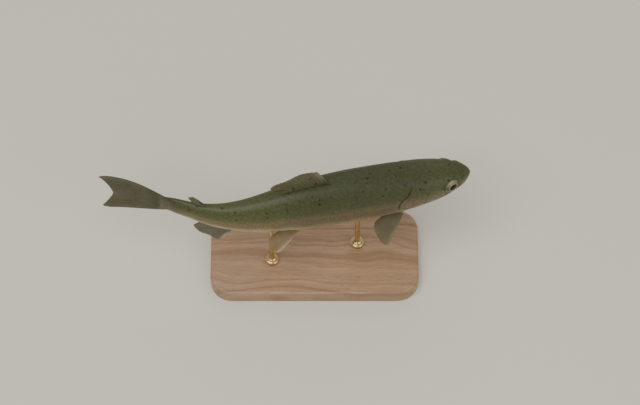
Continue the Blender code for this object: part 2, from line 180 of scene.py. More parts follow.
# ------------ the fish's form
@dataclass(frozen=True)
class BodyForm:
    """The fish's outer form: its axis in the swimming bend, and its sections.

    Attributes:
        total_length: from the snout to the tips of the tail, along the axis.
        standard_share: the standard length, to the end of the tail stem, as a share of it.
        axis_height: the axis over the floor.
        anchor_share: the share of the standard length over the middle of the base.
        nose_round: the share over which the snout rounds off.
        waist_rise: the widest line over mid depth, as a share of the depth.
        upper_fullness: superellipse exponent of a section's upper half.
        lower_fullness: that of its lower half.
        headings: rows of share and heading in degrees to the left of +X.
        sections: rows of share, crest, keel and half width, in shares.
    """

    total_length: float = 0.300
    standard_share: float = 0.850
    axis_height: float = 0.098
    anchor_share: float = 0.50
    nose_round: float = 0.050
    waist_rise: float = 0.04
    upper_fullness: float = 2.15
    lower_fullness: float = 1.95
    headings: Table = (
        (0.00, 17.5), (0.12, 14.0), (0.36, 12.0), (0.64, 13.0),
        (0.76, 1.0), (0.90, -18.0), (1.00, -18.0), (1.19, 0.0),
    )
    sections: Table = (
        (0.000, 0.029, -0.024, 0.028),
        (0.040, 0.046, -0.038, 0.042),
        (0.100, 0.065, -0.063, 0.061),
        (0.180, 0.084, -0.089, 0.072),
        (0.260, 0.097, -0.105, 0.074),
        (0.400, 0.110, -0.118, 0.072),
        (0.520, 0.107, -0.114, 0.066),
        (0.660, 0.086, -0.090, 0.050),
        (0.800, 0.060, -0.058, 0.031),
        (0.900, 0.046, -0.043, 0.019),
        (0.960, 0.045, -0.042, 0.013),
        (1.000, 0.049, -0.046, 0.008),
    )

    @property
    def length(self) -> float:
        """The standard length in metres."""
        return self.standard_share * self.total_length

    @cached_property
    def axis(self) -> tuple[Array, Array, Array, Array]:
        """Follow the axis back from the snout.

        Returns:
            Shares, the axis's x and y there, and its heading in radians.
        """
        shares = np.arange(-0.3, 1.4, 0.002)
        heading = np.radians(smooth_table(self.headings, shares))
        step = (shares[1] - shares[0]) * self.length
        x, y = -np.cumsum(np.cos(heading)) * step, -np.cumsum(np.sin(heading)) * step
        x -= np.interp(self.anchor_share, shares, x)
        y -= np.interp(self.anchor_share, shares, y)
        return shares, x, y, heading

    def section(self, share: Array) -> tuple[Array, Array, Array, Array]:
        """Read the sizes of a section, in metres.

        Args:
            share: shares of the standard length.

        Returns:
            The crest, the keel, the half width and the widest line's height.
        """
        crest, keel, width = (smooth_table(self.sections, share, k) for k in (1, 2, 3))
        nose = np.clip(np.asarray(share) / self.nose_round, 0.0, 1.0)
        size = np.sqrt(1 - (1 - nose) ** 2) * self.length
        waist = (crest + keel) / 2 + self.waist_rise * (crest - keel)
        return crest * size, keel * size, width * size, waist * size

    def place(self, share: Array, left: Array, height: Array) -> Array:
        """Put points of the fish into the model's frame; left and height are in metres.

        Args:
            share: shares of the standard length.
            left: distances to the fish's left.
            height: heights over the axis.

        Returns:
            The points, along a last axis of three.
        """
        shares, *columns = self.axis
        x, y, heading = (np.interp(share, shares, column) for column in columns)
        x, y, z = np.broadcast_arrays(
            x - np.sin(heading) * left, y + np.cos(heading) * left, self.axis_height + height
        )
        return np.stack([x, y, z], axis=-1)

    def leftwards(self, share: Array) -> Array:
        """Give the fish's own left, as vectors of length one."""
        heading = np.interp(share, self.axis[0], self.axis[3])
        return np.stack([-np.sin(heading), np.cos(heading), np.zeros_like(heading)], axis=-1)

    def ring(self, share: Array, turn: Array) -> tuple[Array, Array]:
        """Give left and height, in metres, of the left half of a section's outline.

        Args:
            share: shares of the standard length.
            turn: turns round the section.

        Returns:
            The distances to the left, and the heights over the axis.
        """
        crest, keel, width, waist = self.section(share)
        across, up = np.cos(turn), np.sin(turn)
        power = 2 / np.where(up > 0, self.upper_fullness, self.lower_fullness)
        left = np.sign(across) * np.abs(across) ** power * width
        rise = np.abs(up) ** power * np.where(up > 0, crest - waist, waist - keel)
        return left, waist + np.sign(up) * rise

    def side_at(self, share: Array, height: Array) -> Array:
        """Give the body's half width at a share and a height, in metres.

        Args:
            share: shares of the standard length.
            height: heights over the axis.

        Returns:
            The half widths.
        """
        crest, keel, width, waist = self.section(share)
        top = height > waist
        reach = np.clip((height - waist) / (np.where(top, crest, keel) - waist), 0.0, 1.0)
        power = np.where(top, self.upper_fullness, self.lower_fullness)
        return width * (1 - reach**power) ** (1 / power)

    @cached_property
    def arcs(self) -> tuple[Array, Array, Array]:
        """Measure the way up the side from the widest line.

        Returns:
            Shares, turns, and a table of the distances.
        """
        shares = np.concatenate([np.linspace(0.0005, 0.06, 40), np.linspace(0.065, 1.1, 200)])
        turns = np.linspace(-QUARTER, QUARTER, 241)
        left, height = self.ring(shares[:, None], turns[None, :])
        steps = np.hypot(np.diff(left, axis=1), np.diff(height, axis=1))
        arc = np.concatenate([np.zeros((len(shares), 1)), np.cumsum(steps, axis=1)], axis=1)
        return shares, turns, arc - arc[:, [120]]

    def arc(self, share: Array, turn: Array) -> Array:
        """Give the distance up the side from the widest line to a turn, in metres.

        Args:
            share: shares of the standard length.
            turn: turns round the section.

        Returns:
            The distances, below nought under the widest line.
        """
        shares, turns, arc = self.arcs
        share, turn = np.broadcast_arrays(share, turn)
        i = np.clip(np.searchsorted(shares, share) - 1, 0, len(shares) - 2)
        j = np.clip(np.searchsorted(turns, turn) - 1, 0, len(turns) - 2)
        a = np.clip((share - shares[i]) / (shares[i + 1] - shares[i]), 0, 1)
        b = np.clip((turn - turns[j]) / (turns[j + 1] - turns[j]), 0, 1)
        low = arc[i, j] * (1 - b) + arc[i, j + 1] * b
        high = arc[i + 1, j] * (1 - b) + arc[i + 1, j + 1] * b
        return low * (1 - a) + high * a

    def turns_at(self, share: float, arcs: Array) -> Array:
        """Give the turns that lie at some distances up the side.

        Args:
            share: a share of the standard length.
            arcs: the distances from the widest line.

        Returns:
            The turns.
        """
        shares, turns, table = self.arcs
        row = np.array([np.interp(share, shares, column) for column in table.T])
        return np.interp(arcs, row, turns)

    def surface(self, share: Array, turn: Array, side: Side) -> tuple[Array, Array, Array]:
        """Read the body's outer surface.

        Args:
            share: shares of the standard length.
            turn: turns round the section.
            side: which side of the fish.

        Returns:
            The points, the way out of the skin and the way to the rear there.
        """

        def point(at: Array, around: Array) -> Array:
            """Give points of the surface."""
            left, height = self.ring(at, around)
            return self.place(at, side.value * left, height)

        share, turn = np.broadcast_arrays(np.asarray(share, float), np.asarray(turn, float))
        back, aside = 2e-4, 2e-3
        rear = point(share + back, turn) - point(np.maximum(share - back, 1e-5), turn)
        up = point(share, turn + aside) - point(share, turn - aside)
        out = unit(np.cross(rear, up) * side.value)
        return point(share, turn), out, unit(rear)

    def outwards(self, share: float, height: float, side: Side) -> Array:
        """Give the way straight out of the head's side at a share and a height.

        Args:
            share: the share of the standard length.
            height: the height over the axis.
            side: which side of the fish.

        Returns:
            A vector of length one.
        """
        left, step = self.leftwards(share), 0.002
        run = step * self.length
        here = self.side_at(share, height)
        widening = (self.side_at(share + step, height) - here) / run
        narrowing = (here - self.side_at(share, height + run)) / run
        return unit(left * side.value + np.cross(left, UP) * widening + UP * narrowing)


# ------------ making meshes
def link(name: str, data: bpy.types.ID) -> bpy.types.Object:
    """Put a mesh, a camera or a lamp into the scene.

    Args:
        name: the object's name.
        data: what it shows.

    Returns:
        The object.
    """
    made = bpy.data.objects.new(name, data)
    bpy.context.scene.collection.objects.link(made)
    return made


def add_piece(mesh: Mesh, finish: Material, slot: Slot, *replaced: str) -> None:
    """Put a finished mesh into the scene as a piece of the model, under the mesh's name.

    Args:
        mesh: the piece's mesh, in the model's frame.
        finish: its material.
        slot: the material slot of its finish; not used.
        replaced: the solids that it stands for.
    """
    piece = link(mesh.name, mesh)
    mesh.materials.clear()
    mesh.materials.append(finish)
    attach(piece, "root")
    if replaced:
        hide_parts(*replaced)
    LOG.info("%s: %d vertices, %d faces", piece.name, len(mesh.vertices), len(mesh.polygons))


def numbers_of(items: bpy.types.bpy_prop_collection, key: str, width: int = 1,
               kind: type = np.int32) -> Array:
    """Read one property of all the vertices, corners or faces of a mesh.

    Args:
        items: the mesh's collection of them.
        key: the property's name.
        width: how many numbers it has for each.
        kind: the numbers' type.

    Returns:
        A number for each, or a row of numbers where the width is over one.
    """
    values = np.empty(len(items) * width, kind)
    items.foreach_get(key, values)
    return values.reshape(-1, width) if width > 1 else values


def make_mesh(name: str, points: Array, faces: Faces, sharp: float = 60.0) -> Mesh:
    """Make a smooth-shaded mesh, a closed one with its faces turned outwards.

    Args:
        name: its name.
        points: its vertices.
        faces: its faces, all wound the same way.
        sharp: the angle in degrees from which an edge stays hard.

    Returns:
        The mesh.
    """
    points = np.asarray(points, float).reshape(-1, 3)
    mesh = bpy.data.meshes.new(name)
    mesh.from_pydata(points.tolist(), [], faces)
    mesh.calc_loop_triangles()
    corners = (points - points.mean(0))[numbers_of(mesh.loop_triangles, "vertices", 3)]
    if np.linalg.det(corners).sum() < 0:
        mesh.flip_normals()
    mesh.shade_smooth()
    mesh.set_sharp_from_angle(angle=math.radians(sharp))
    return mesh


def add_attribute(mesh: Mesh, name: str, values: Array) -> None:
    """Store a number or a vector at each vertex, in place of any old ones.

    Args:
        mesh: the mesh.
        name: the name that the materials read.
        values: the numbers, or the rows of three.
    """
    old = mesh.attributes.get(name)
    if old is not None:
        mesh.attributes.remove(old)
    values = np.asarray(values, np.float32)
    kind, key = ("FLOAT", "value") if values.ndim == 1 else ("FLOAT_VECTOR", "vector")
    mesh.attributes.new(name, kind, "POINT").data.foreach_set(key, values.ravel())


def add_map(mesh: Mesh, corners: Array) -> None:
    """Give a mesh its unwrap: one place in the unit square for each face corner."""
    layer = mesh.uv_layers.new(name="OFBake", do_init=False)
    layer.uv.foreach_set("vector", np.asarray(corners, np.float32).ravel())


def grid_faces(rows: int, columns: int, ring: bool = True, hoop: bool = False) -> Faces:
    """List the quads of a grid of vertices.

    Args:
        rows: how many rows of vertices there are.
        columns: how many vertices a row has.
        ring: whether each row is a ring.
        hoop: whether the last row is joined to the first.

    Returns:
        The quads, wound so that rows to the rear and columns upwards face left.
    """
    faces = []
    for i in range(rows if hoop else rows - 1):
        for j in range(columns if ring else columns - 1):
            a, b, k = i * columns, (i + 1) % rows * columns, (j + 1) % columns
            faces.append((a + j, b + j, b + k, a + k))
    return faces


def fan(pole: int, first: int, columns: int) -> Faces:
    """List the triangles from a pole to the ring of vertices that starts at first."""
    return [(pole, first + j, first + (j + 1) % columns) for j in range(columns)]


def poled_faces(rows: int, columns: int) -> Faces:
    """List the faces of a row of rings that the last two vertices close at its ends."""
    far = [face[::-1] for face in fan(rows * columns + 1, (rows - 1) * columns, columns)]
    return grid_faces(rows, columns) + fan(rows * columns, 0, columns) + far


def turned(profile: Sequence[tuple[float, float]], x: float, y: float, segments: int) -> Array:
    """Turn a profile round an upright axis.

    Args:
        profile: its (radius, height) points.
        x: the axis's place.
        y: the axis's place.
        segments: how many points go round.

    Returns:
        A ring of points for each point of the profile.
    """
    angle = 2 * math.pi * np.arange(segments) / segments
    radius, height = np.array(profile).T[..., None]
    rings = (x + radius * np.cos(angle), y + radius * np.sin(angle), height + 0 * angle)
    return np.stack(rings, -1).reshape(-1, 3)


# ------------ finishes
class Nodes:
    """A node tree, with short ways to add nodes and join them."""

    def __init__(self, tree: bpy.types.NodeTree) -> None:
        """Take the tree to fill."""
        self.tree = tree

    def put(self, socket: Socket, value: object) -> None:
        """Fill an input.

        Args:
            socket: the input.
            value: a number, a name, a colour, or another node's output.
        """
        if isinstance(value, Socket):
            self.tree.links.new(value, socket)
        elif isinstance(value, tuple) and len(value) == 3 and socket.type == "RGBA":
            socket.default_value = (*value, 1.0)
        else:
            socket.default_value = value

    def node(self, kind: str, inputs: dict[str, object] | None = None,
             **settings: object) -> bpy.types.Node:
        """Add a node, set its properties, and fill its inputs by identifier.

        Args:
            kind: the node's type.
            inputs: what the inputs get.
            settings: its properties.

        Returns:
            The node.
        """
        made = self.tree.nodes.new(kind)
        for key, value in settings.items():
            setattr(made, key, value)
        for socket in made.inputs:
            if inputs and socket.identifier in inputs:
                self.put(socket, inputs[socket.identifier])
        return made


class Shader(Nodes):
    """A material's nodes, round one principled shader."""

    def __init__(self, name: str) -> None:
        """Start a material.

        Args:
            name: its name.
        """
        self.material = bpy.data.materials.new(name)
        self.material.use_nodes = True
        super().__init__(self.material.node_tree)
        self.surface = self.tree.nodes["Principled BSDF"]

    def maths(self, operation: str, *values: object, clamp: bool = False) -> Socket:
        """Join numbers by a sum, a comparison or the like.

        Args:
            operation: which.
            values: the numbers.
            clamp: whether to keep the result from nought to one.

        Returns:
            The result.
        """
        made = self.node("ShaderNodeMath", operation=operation, use_clamp=clamp)
        for socket, value in zip(made.inputs, values):
            self.put(socket, value)
        return made.outputs[0]

    def times(self, *numbers: object) -> Socket:
        """Multiply numbers."""
        return reduce(lambda a, b: self.maths("MULTIPLY", a, b), numbers)

    def blend(self, factor: object, a: object, b: object, way: str = "MIX") -> Socket:
        """Mix two colours."""
        inputs = {"Factor_Float": factor, "A_Color": a, "B_Color": b}
        return self.node("ShaderNodeMix", inputs, data_type="RGBA", blend_type=way).outputs[2]

    def lighten(self, colour: object, by: object) -> Socket:
        """Multiply a colour by a number."""
        grey = self.node("ShaderNodeCombineColor", {"Red": by, "Green": by, "Blue": by})
        return self.blend(1.0, colour, grey.outputs[0], "MULTIPLY")

    def ramp(self, value: object, low: float, high: float, start: float = 0.0,
             end: float = 1.0) -> Socket:
        """Rise smoothly as a value goes from low to high.

        Args:
            value: the value.
            low: where the rise starts.
            high: where it ends.
            start: the result at low.
            end: the result at high.

        Returns:
            The result.
        """
        inputs = {"Value": value, "From Min": low, "From Max": high,
                  "To Min": start, "To Max": end}
        return self.node("ShaderNodeMapRange", inputs, interpolation_type="SMOOTHSTEP").outputs[0]

    def read(self, name: str) -> Socket:
        """Read a vector attribute of the piece's vertices."""
        return self.node("ShaderNodeAttribute", attribute_name=name).outputs["Vector"]

    def place(self) -> Socket:
        """Read the place in the model's own frame."""
        return self.node("ShaderNodeTexCoord").outputs["Object"]

    def parts(self, vector: Socket) -> list[Socket]:
        """Split a vector into its three numbers."""
        return list(self.node("ShaderNodeSeparateXYZ", {"Vector": vector}).outputs)

    def vector(self, x: object, y: object, z: object = 0.0) -> Socket:
        """Make a vector of three numbers."""
        return self.node("ShaderNodeCombineXYZ", {"X": x, "Y": y, "Z": z}).outputs[0]

    def noise(self, vector: object, scale: float, detail: float = 3.0,
              roughness: float = 0.5) -> Socket:
        """Give soft noise from nought to one, its grain about one over the scale across."""
        inputs = {"Vector": vector, "Scale": scale, "Detail": detail, "Roughness": roughness}
        return self.node("ShaderNodeTexNoise", inputs).outputs[0]

    def stretched(self, vector: object, scale: Triple) -> Socket:
        """Scale a vector by axis, so that a pattern on it is drawn out."""
        inputs = {"Vector": vector, "Vector_001": scale}
        return self.node("ShaderNodeVectorMath", inputs, operation="MULTIPLY").outputs[0]

    def bump(self, height: object, distance: float, strength: float = 1.0) -> Socket:
        """Turn a height into a bent normal; distance is the height of one, in metres."""
        inputs = {"Height": height, "Distance": distance, "Strength": strength}
        return self.node("ShaderNodeBump", inputs).outputs[0]

    def spots(self, vector: object, spacing: float, size: tuple[float, float],
              share: object) -> Socket:
        """Scatter small round spots over a surface.

        Args:
            vector: the place on the skin, in metres.
            spacing: how far apart the spots can be, in metres.
            size: the smallest and largest radius, in metres.
            share: the share of places that hold a spot, from 0 to 1.

        Returns:
            One inside a spot and nought outside, with a soft edge.
        """
        wobble = self.node("ShaderNodeTexNoise", {"Vector": vector, "Scale": 650.0, "Detail": 1.0})
        moved = self.blend(0.0004, vector, wobble.outputs[1], "LINEAR_LIGHT")
        cells = self.node("ShaderNodeTexVoronoi",
                          {"Vector": moved, "Scale": 1 / spacing, "Randomness": 0.9})
        pick, grow, _ = self.parts(cells.outputs[1])
        low, high = (radius / spacing for radius in size)
        radius = self.maths("MULTIPLY_ADD", grow, high - low, low)
        solid = self.ramp(self.maths("SUBTRACT", radius, cells.outputs[0]), -0.035, 0.05)
        return self.times(solid, self.maths("LESS_THAN", pick, share))

    def finish(self, **inputs: object) -> Material:
        """Fill the principled shader's inputs.

        Args:
            inputs: what they get, by their names with _ for spaces.

        Returns:
            The material.
        """
        for name, value in inputs.items():
            self.put(self.surface.inputs[name.replace("_", " ")], value)
        return self.material


@dataclass(frozen=True)
class TroutMarkings:
    """The colours of the skin and of the scales over it.

    Attributes:
        back: along the crest.
        upper: over the widest line.
        flank: on the widest line.
        lower: under it.
        belly: towards the keel.
        rose: the band along the side, and the gill cover's tinge.
        spot: the small spots.
        groove: painted shade on the floor of slits, grooves and pits.
    """

    back: Triple = (0.043, 0.049, 0.0172)
    upper: Triple = (0.060, 0.064, 0.0245)
    flank: Triple = (0.118, 0.112, 0.050)
    lower: Triple = (0.330, 0.290, 0.175)
    belly: Triple = (0.700, 0.650, 0.520)
    rose: Triple = (0.215, 0.088, 0.070)
    spot: Triple = (0.010, 0.011, 0.008)
    groove: Triple = (0.020, 0.018, 0.012)

    def colour(self, shader: Shader) -> tuple[Socket, Socket]:
        """Paint markings and painted groove shade; skin and scales read the same attributes.

        Args:
            shader: the material to paint.

        Returns:
            The colour, and how far the place is a bright flank, for its metallic sheen.
        """
        along, around, level = shader.parts(shader.read("chart"))
        # Features: painted shade in the head's slits, grooves and pits, nearness to the eye, and
        # the rosy tinge.
        groove, orbit, blush = shader.parts(shader.read("features"))
        lateral_line = shader.times(
            shader.ramp(along, 0.058, 0.066),
            shader.ramp(shader.maths("ABSOLUTE", level), 0.020, 0.006, 0.0, 0.42))
        spread = shader.vector(along, around)
        patchy = shader.noise(spread, 70.0, 4.0, 0.6)
        fine = shader.noise(spread, 420.0, 3.0, 0.6)
        level = shader.maths("ADD", level, shader.maths("MULTIPLY_ADD", patchy, 0.22, -0.11))

        # Down the side the tones grow paler, which fades out towards the tail.
        colour = shader.blend(shader.ramp(level, 0.72, 0.22), self.back, self.upper)
        # On the head the pale lower tone is held back to 0.40: painted shade on the head's lower
        # side.
        head_painted_shade = shader.ramp(along, 0.045, 0.090, 0.40, 1.0)
        for tone, top, full, fade, shares in (
            (self.flank, 0.36, -0.02, (0.250, 0.222, 0.35, 1.0), ()),
            (self.lower, -0.06, -0.46, (0.250, 0.190, 0.15, 1.0), (head_painted_shade,)),
            (self.belly, -0.38, -0.74, (0.245, 0.150, 0.0, 1.0), ()),
        ):
            share = shader.times(shader.ramp(level, top, full), shader.ramp(along, *fade), *shares)
            colour = shader.blend(share, colour, tone)

        band = shader.times(shader.ramp(level, 0.30, 0.06), shader.ramp(level, -0.34, -0.10),
                            shader.ramp(along, 0.035, 0.060), shader.ramp(along, 0.250, 0.190),
                            0.32)
        rosy = shader.times(shader.maths("MAXIMUM", band, blush),
                            shader.ramp(patchy, 0.25, 0.65, 0.45, 0.85))
        colour = shader.blend(rosy, colour, self.rose)
        # Random tone; painted light that lightens the rear trunk and tail stem, standing in for
        # bright water haze there; darker again at the tail fin's root; lighter at the snout.
        colour = shader.lighten(colour, shader.times(
            shader.ramp(fine, 0.30, 0.75, 0.78, 1.16),
            shader.ramp(along, 0.120, 0.190, 1.0, 1.48),
            shader.ramp(along, 0.222, 0.248, 1.0, 0.66),
            shader.ramp(along, 0.030, 0.050, 1.20, 1.0)))
        colour = shader.blend(lateral_line, colour, self.back)

        on_back = shader.ramp(level, -0.30, 0.35, 0.03, 0.66)
        large = shader.spots(spread, 0.0050, (0.0006, 0.0013), on_back)
        small = shader.spots(spread, 0.0037, (0.0003, 0.0007), shader.times(on_back, 0.7))
        spots = shader.maths("MAXIMUM", large, small)
        colour = shader.blend(shader.times(spots, 0.88), colour, self.spot)
        # Painted shade on the floor of slits, grooves and pits.
        colour = shader.blend(shader.times(groove, 0.65), colour, self.groove)
        colour = shader.blend(shader.times(orbit, 0.5), colour, self.back)
        bright = shader.times(shader.ramp(level, 0.55, -0.15),
                              shader.maths("SUBTRACT", 1.0, spots))
        return colour, bright


@dataclass(frozen=True)
class SkinFinish:
    """Wet, smooth skin."""

    roughness: float = 0.50

    def material(self, markings: TroutMarkings) -> Material:
        """Build the skin's material on the shared markings.

        Args:
            markings: the body's colours.

        Returns:
            The material.
        """
        shader = Shader("trout_skin")
        colour, bright = markings.colour(shader)
        pores = shader.noise(shader.place(), 1500.0, 3.0, 0.6)
        rough = shader.ramp(shader.noise(shader.place(), 260.0), 0.3, 0.7,
                            self.roughness - 0.06, self.roughness + 0.08)
        return shader.finish(
            Base_Color=colour, Roughness=rough, Metallic=shader.times(bright, 0.22),
            Normal=shader.bump(pores, 0.00006), Specular_IOR_Level=0.31,
            Coat_Weight=0.06, Coat_Roughness=0.28,
            Subsurface_Weight=0.06, Subsurface_Scale=0.002,
        )


@dataclass(frozen=True)
class ScaleFinish:
    """Wet scales, each with its own tone and a darker rim."""

    roughness: float = 0.52

    def material(self, markings: TroutMarkings) -> Material:
        """Build the scales' material on the shared markings.

        Args:
            markings: the body's colours.

        Returns:
            The material.
        """
        shader = Shader("trout_scales")
        colour, bright = markings.colour(shader)
        tone, rim, _ = shader.parts(shader.read("plate"))
        colour = shader.lighten(colour, shader.times(
            shader.ramp(tone, 0.0, 1.0, 0.90, 1.11), shader.ramp(rim, 0.35, 1.0, 1.04, 0.76)))
        rough = shader.ramp(tone, 0.0, 1.0, self.roughness - 0.06, self.roughness + 0.10)
        ridges = shader.noise(shader.place(), 5200.0, 2.0, 0.6)
        return shader.finish(
            Base_Color=colour, Roughness=rough, Metallic=shader.times(bright, 0.32),
            Normal=shader.bump(ridges, 0.00002), Specular_IOR_Level=0.31,
            Coat_Weight=0.06, Coat_Roughness=0.28,
        )


@dataclass(frozen=True)
class FinFinish:
    """Thin membrane between bony rays.

    Attributes:
        name: the material's name.
        membrane: its colour.
        ray: the rays' colour.
        tip: the colour of the leading edge and its tip.
        tip_share: how strongly the leading edge takes it.
        spots: how many of the places for a spot hold one.
        root_reach: how far out the body's own markings run, as a share of the fin.
    """

    name: str
    membrane: Triple
    ray: Triple
    tip: Triple = (0.55, 0.50, 0.38)
    tip_share: float = 0.0
    spots: float = 0.0
    root_reach: float = 0.20

    def material(self, markings: TroutMarkings) -> Material:
        """Build the fin's material, on its rays, its outline and its spots.

        Args:
            markings: the body's colours.

        Returns:
            The material.
        """
        shader = Shader(self.name)
        ray, across, out = shader.parts(shader.read("fin"))
        plan = shader.read("plan")
        cloudy = shader.ramp(shader.noise(plan, 160.0, 4.0, 0.6), 0.3, 0.7, 0.0, 0.45)
        colour = shader.blend(cloudy, self.membrane, self.ray)
        colour = shader.blend(shader.times(ray, 0.8), colour, self.ray)
        body = shader.blend(0.35, markings.colour(shader)[0], self.ray)
        colour = shader.blend(shader.ramp(out, self.root_reach, 0.02), colour, body)
        edge = shader.times(shader.ramp(across, 0.16, 0.02), shader.ramp(out, 0.25, 0.7),
                            self.tip_share)
        colour = shader.blend(edge, colour, self.tip)
        colour = shader.blend(shader.ramp(out, 0.80, 1.0, 0.0, 0.25), colour, self.membrane)
        if self.spots:
            marks = shader.spots(plan, 0.0046, (0.0006, 0.0013), self.spots)
            colour = shader.blend(shader.times(marks, 0.85), colour, markings.spot)
        return shader.finish(
            Base_Color=colour, Roughness=shader.ramp(ray, 0.0, 1.0, 0.34, 0.46),
            Normal=shader.bump(shader.noise(plan, 2400.0), 0.00003),
            Specular_IOR_Level=0.35, Coat_Weight=0.10, Coat_Roughness=0.25,
            Subsurface_Weight=0.15, Subsurface_Scale=0.0015,
        )


@dataclass(frozen=True)
class EyeFinish:
    """A black pupil in a silvery gold iris, under a wet clear front, with a painted highlight."""

    pupil: Triple = (0.004, 0.004, 0.005)
    ring: Triple = (0.40, 0.33, 0.16)
    iris: Triple = (0.240, 0.225, 0.155)
    dusk: Triple = (0.060, 0.052, 0.028)
    pupil_radius: float = 0.42

    def material(self) -> Material:
        """Build the eye's material on the gaze attribute: ahead, above and off centre.

        Returns:
            The material.
        """
        shader = Shader("trout_eye")
        gaze = shader.read("gaze")
        ahead, above, off = shader.parts(gaze)
        oval = shader.times(shader.maths("SUBTRACT", ahead, 0.04), 0.90)
        radius = shader.node("ShaderNodeVectorMath", {"Vector": shader.vector(oval, above)},
                             operation="LENGTH").outputs["Value"]
        flecks = shader.noise(gaze, 7.0, 5.0, 0.65)
        streaks = shader.noise(gaze, 26.0, 2.0, 0.5)
        # Painted highlight: the iris stays bright in a crescent at its upper rear edge, where
        # light from above falls; elsewhere above the pupil lies a dusky smudge.
        rear = shader.maths("SUBTRACT", above, shader.times(ahead, 0.45))
        painted_highlight_crescent = shader.times(shader.ramp(rear, 0.30, 0.60), shader.ramp(off, 0.74, 0.82))
        smudge = shader.times(shader.ramp(above, -0.60, -0.10, 0.15, 0.82),
                              shader.ramp(painted_highlight_crescent, 1.0, 0.0))
        shade = shader.maths("ADD", smudge, shader.ramp(flecks, 0.42, 0.66, 0.0, 0.40),
                             clamp=True)
        colour = shader.blend(shade, self.iris, self.dusk)
        colour = shader.blend(shader.ramp(streaks, 0.45, 0.8, 0.0, 0.35), colour, self.ring)
        edge = self.pupil_radius
        glint = shader.times(shader.ramp(radius, edge + 0.065, edge + 0.03),
                             shader.ramp(radius, edge, edge + 0.01))
        colour = shader.blend(glint, colour, self.ring)
        colour = shader.blend(shader.ramp(off, 0.82, 0.90), colour, self.dusk)
        inside = shader.ramp(radius, edge + 0.015, edge - 0.015)
        colour = shader.blend(inside, colour, self.pupil)
        shine = shader.times(shader.maths("SUBTRACT", 1.0, inside), 0.30)
        return shader.finish(Base_Color=colour, Roughness=0.30, Metallic=shine,
                             Specular_IOR_Level=0.10, Coat_Weight=0.30, Coat_Roughness=0.04)


@dataclass(frozen=True)
class WoodFinish:
    """Oiled hardwood with its grain along the base."""

    light: Triple = (0.40, 0.255, 0.145)
    dark: Triple = (0.245, 0.140, 0.074)
    pore: Triple = (0.12, 0.065, 0.03)

    def material(self) -> Material:
        """Build the wood's material on the model's own coordinates.

        Returns:
            The material.
        """
        shader = Shader("oiled_wood")
        place = shader.place()
        bend = shader.noise(shader.stretched(place, (1.0, 2.5, 2.5)), 11.0, 2.0)
        bent = shader.maths("ADD", shader.parts(place)[1], shader.times(bend, 0.034))
        rings = shader.noise(shader.vector(bent, 0.0), 135.0, 3.0, 0.6)
        grain = shader.noise(shader.stretched(place, (1.0, 14.0, 14.0)), 42.0, 6.0, 0.65)
        colour = shader.blend(shader.ramp(rings, 0.36, 0.66), self.light, self.dark)
        colour = shader.blend(shader.ramp(grain, 0.35, 0.75, 0.0, 0.6), colour, self.dark)
        pores = shader.noise(shader.stretched(place, (1.0, 26.0, 26.0)), 170.0, 2.0)
        pits = shader.ramp(pores, 0.62, 0.72)
        colour = shader.blend(shader.times(pits, 0.7), colour, self.pore)
        return shader.finish(
            Base_Color=colour, Roughness=shader.ramp(grain, 0.3, 0.7, 0.34, 0.48),
            Normal=shader.bump(shader.maths("SUBTRACT", grain, pits), 0.00008),
            Coat_Weight=0.12, Coat_Roughness=0.3,
        )


@dataclass(frozen=True)
class BrassFinish:
    """Brushed brass, a little tarnished."""

    metal: Triple = (0.70, 0.53, 0.27)
    tarnish: Triple = (0.36, 0.25, 0.12)

    def material(self) -> Material:
        """Build the brass's material on the model's own coordinates.

        Returns:
            The material.
        """
        shader = Shader("brushed_brass")
        brushed = shader.noise(shader.stretched(shader.place(), (1.0, 1.0, 18.0)), 520.0, 3.0)
        cloud = shader.noise(shader.place(), 130.0, 4.0, 0.6)
        colour = shader.blend(shader.ramp(cloud, 0.45, 0.75, 0.0, 0.6), self.metal, self.tarnish)
        return shader.finish(
            Base_Color=colour, Metallic=1.0,
            Roughness=shader.ramp(brushed, 0.3, 0.7, 0.20, 0.36),
            Normal=shader.bump(brushed, 0.00001),
        )


# ------------ skin
@dataclass(frozen=True)
class EyeFit:
    """Where an eye sits and how large it is.

    Attributes:
        share: its middle, as a share behind the snout.
        height: its middle over the axis, as a share.
        radius: the ball's radius across.
        depth: the ball's half thickness.
        stands_out: how far the ball's front stands over the body's surface.
        opening: the radius of the opening in the skin.
    """

    share: float = 0.073
    height: float = 0.019
    radius: float = 0.0074
    depth: float = 0.0049
    stands_out: float = 0.0006
    opening: float = 0.0064

    def frame(self, form: BodyForm, side: Side) -> tuple[Array, Array, Array, Array]:
        """Give the eye's middle on the skin, and its ways out, ahead and above.

        Args:
            form: the body.
            side: which side of the fish.

        Returns:
            The middle, and three vectors of length one.
        """
        height = self.height * form.length
        out = form.outwards(self.share, height, side)
        left = form.leftwards(self.share)
        ahead = np.cross(left, UP)
        ahead = unit(ahead - out * (ahead @ out))
        above = np.cross(out, ahead) * side.value
        middle = side.value * form.side_at(self.share, height)
        return form.place(self.share, middle, height), out, ahead, above

    def front(self, radius: Array) -> Array:
        """Give how far the ball's front stands out at a distance from its middle."""
        part = np.clip(radius / self.radius, 0.0, 1.0)
        return self.stands_out - self.depth * (1 - np.sqrt(1 - part**2))


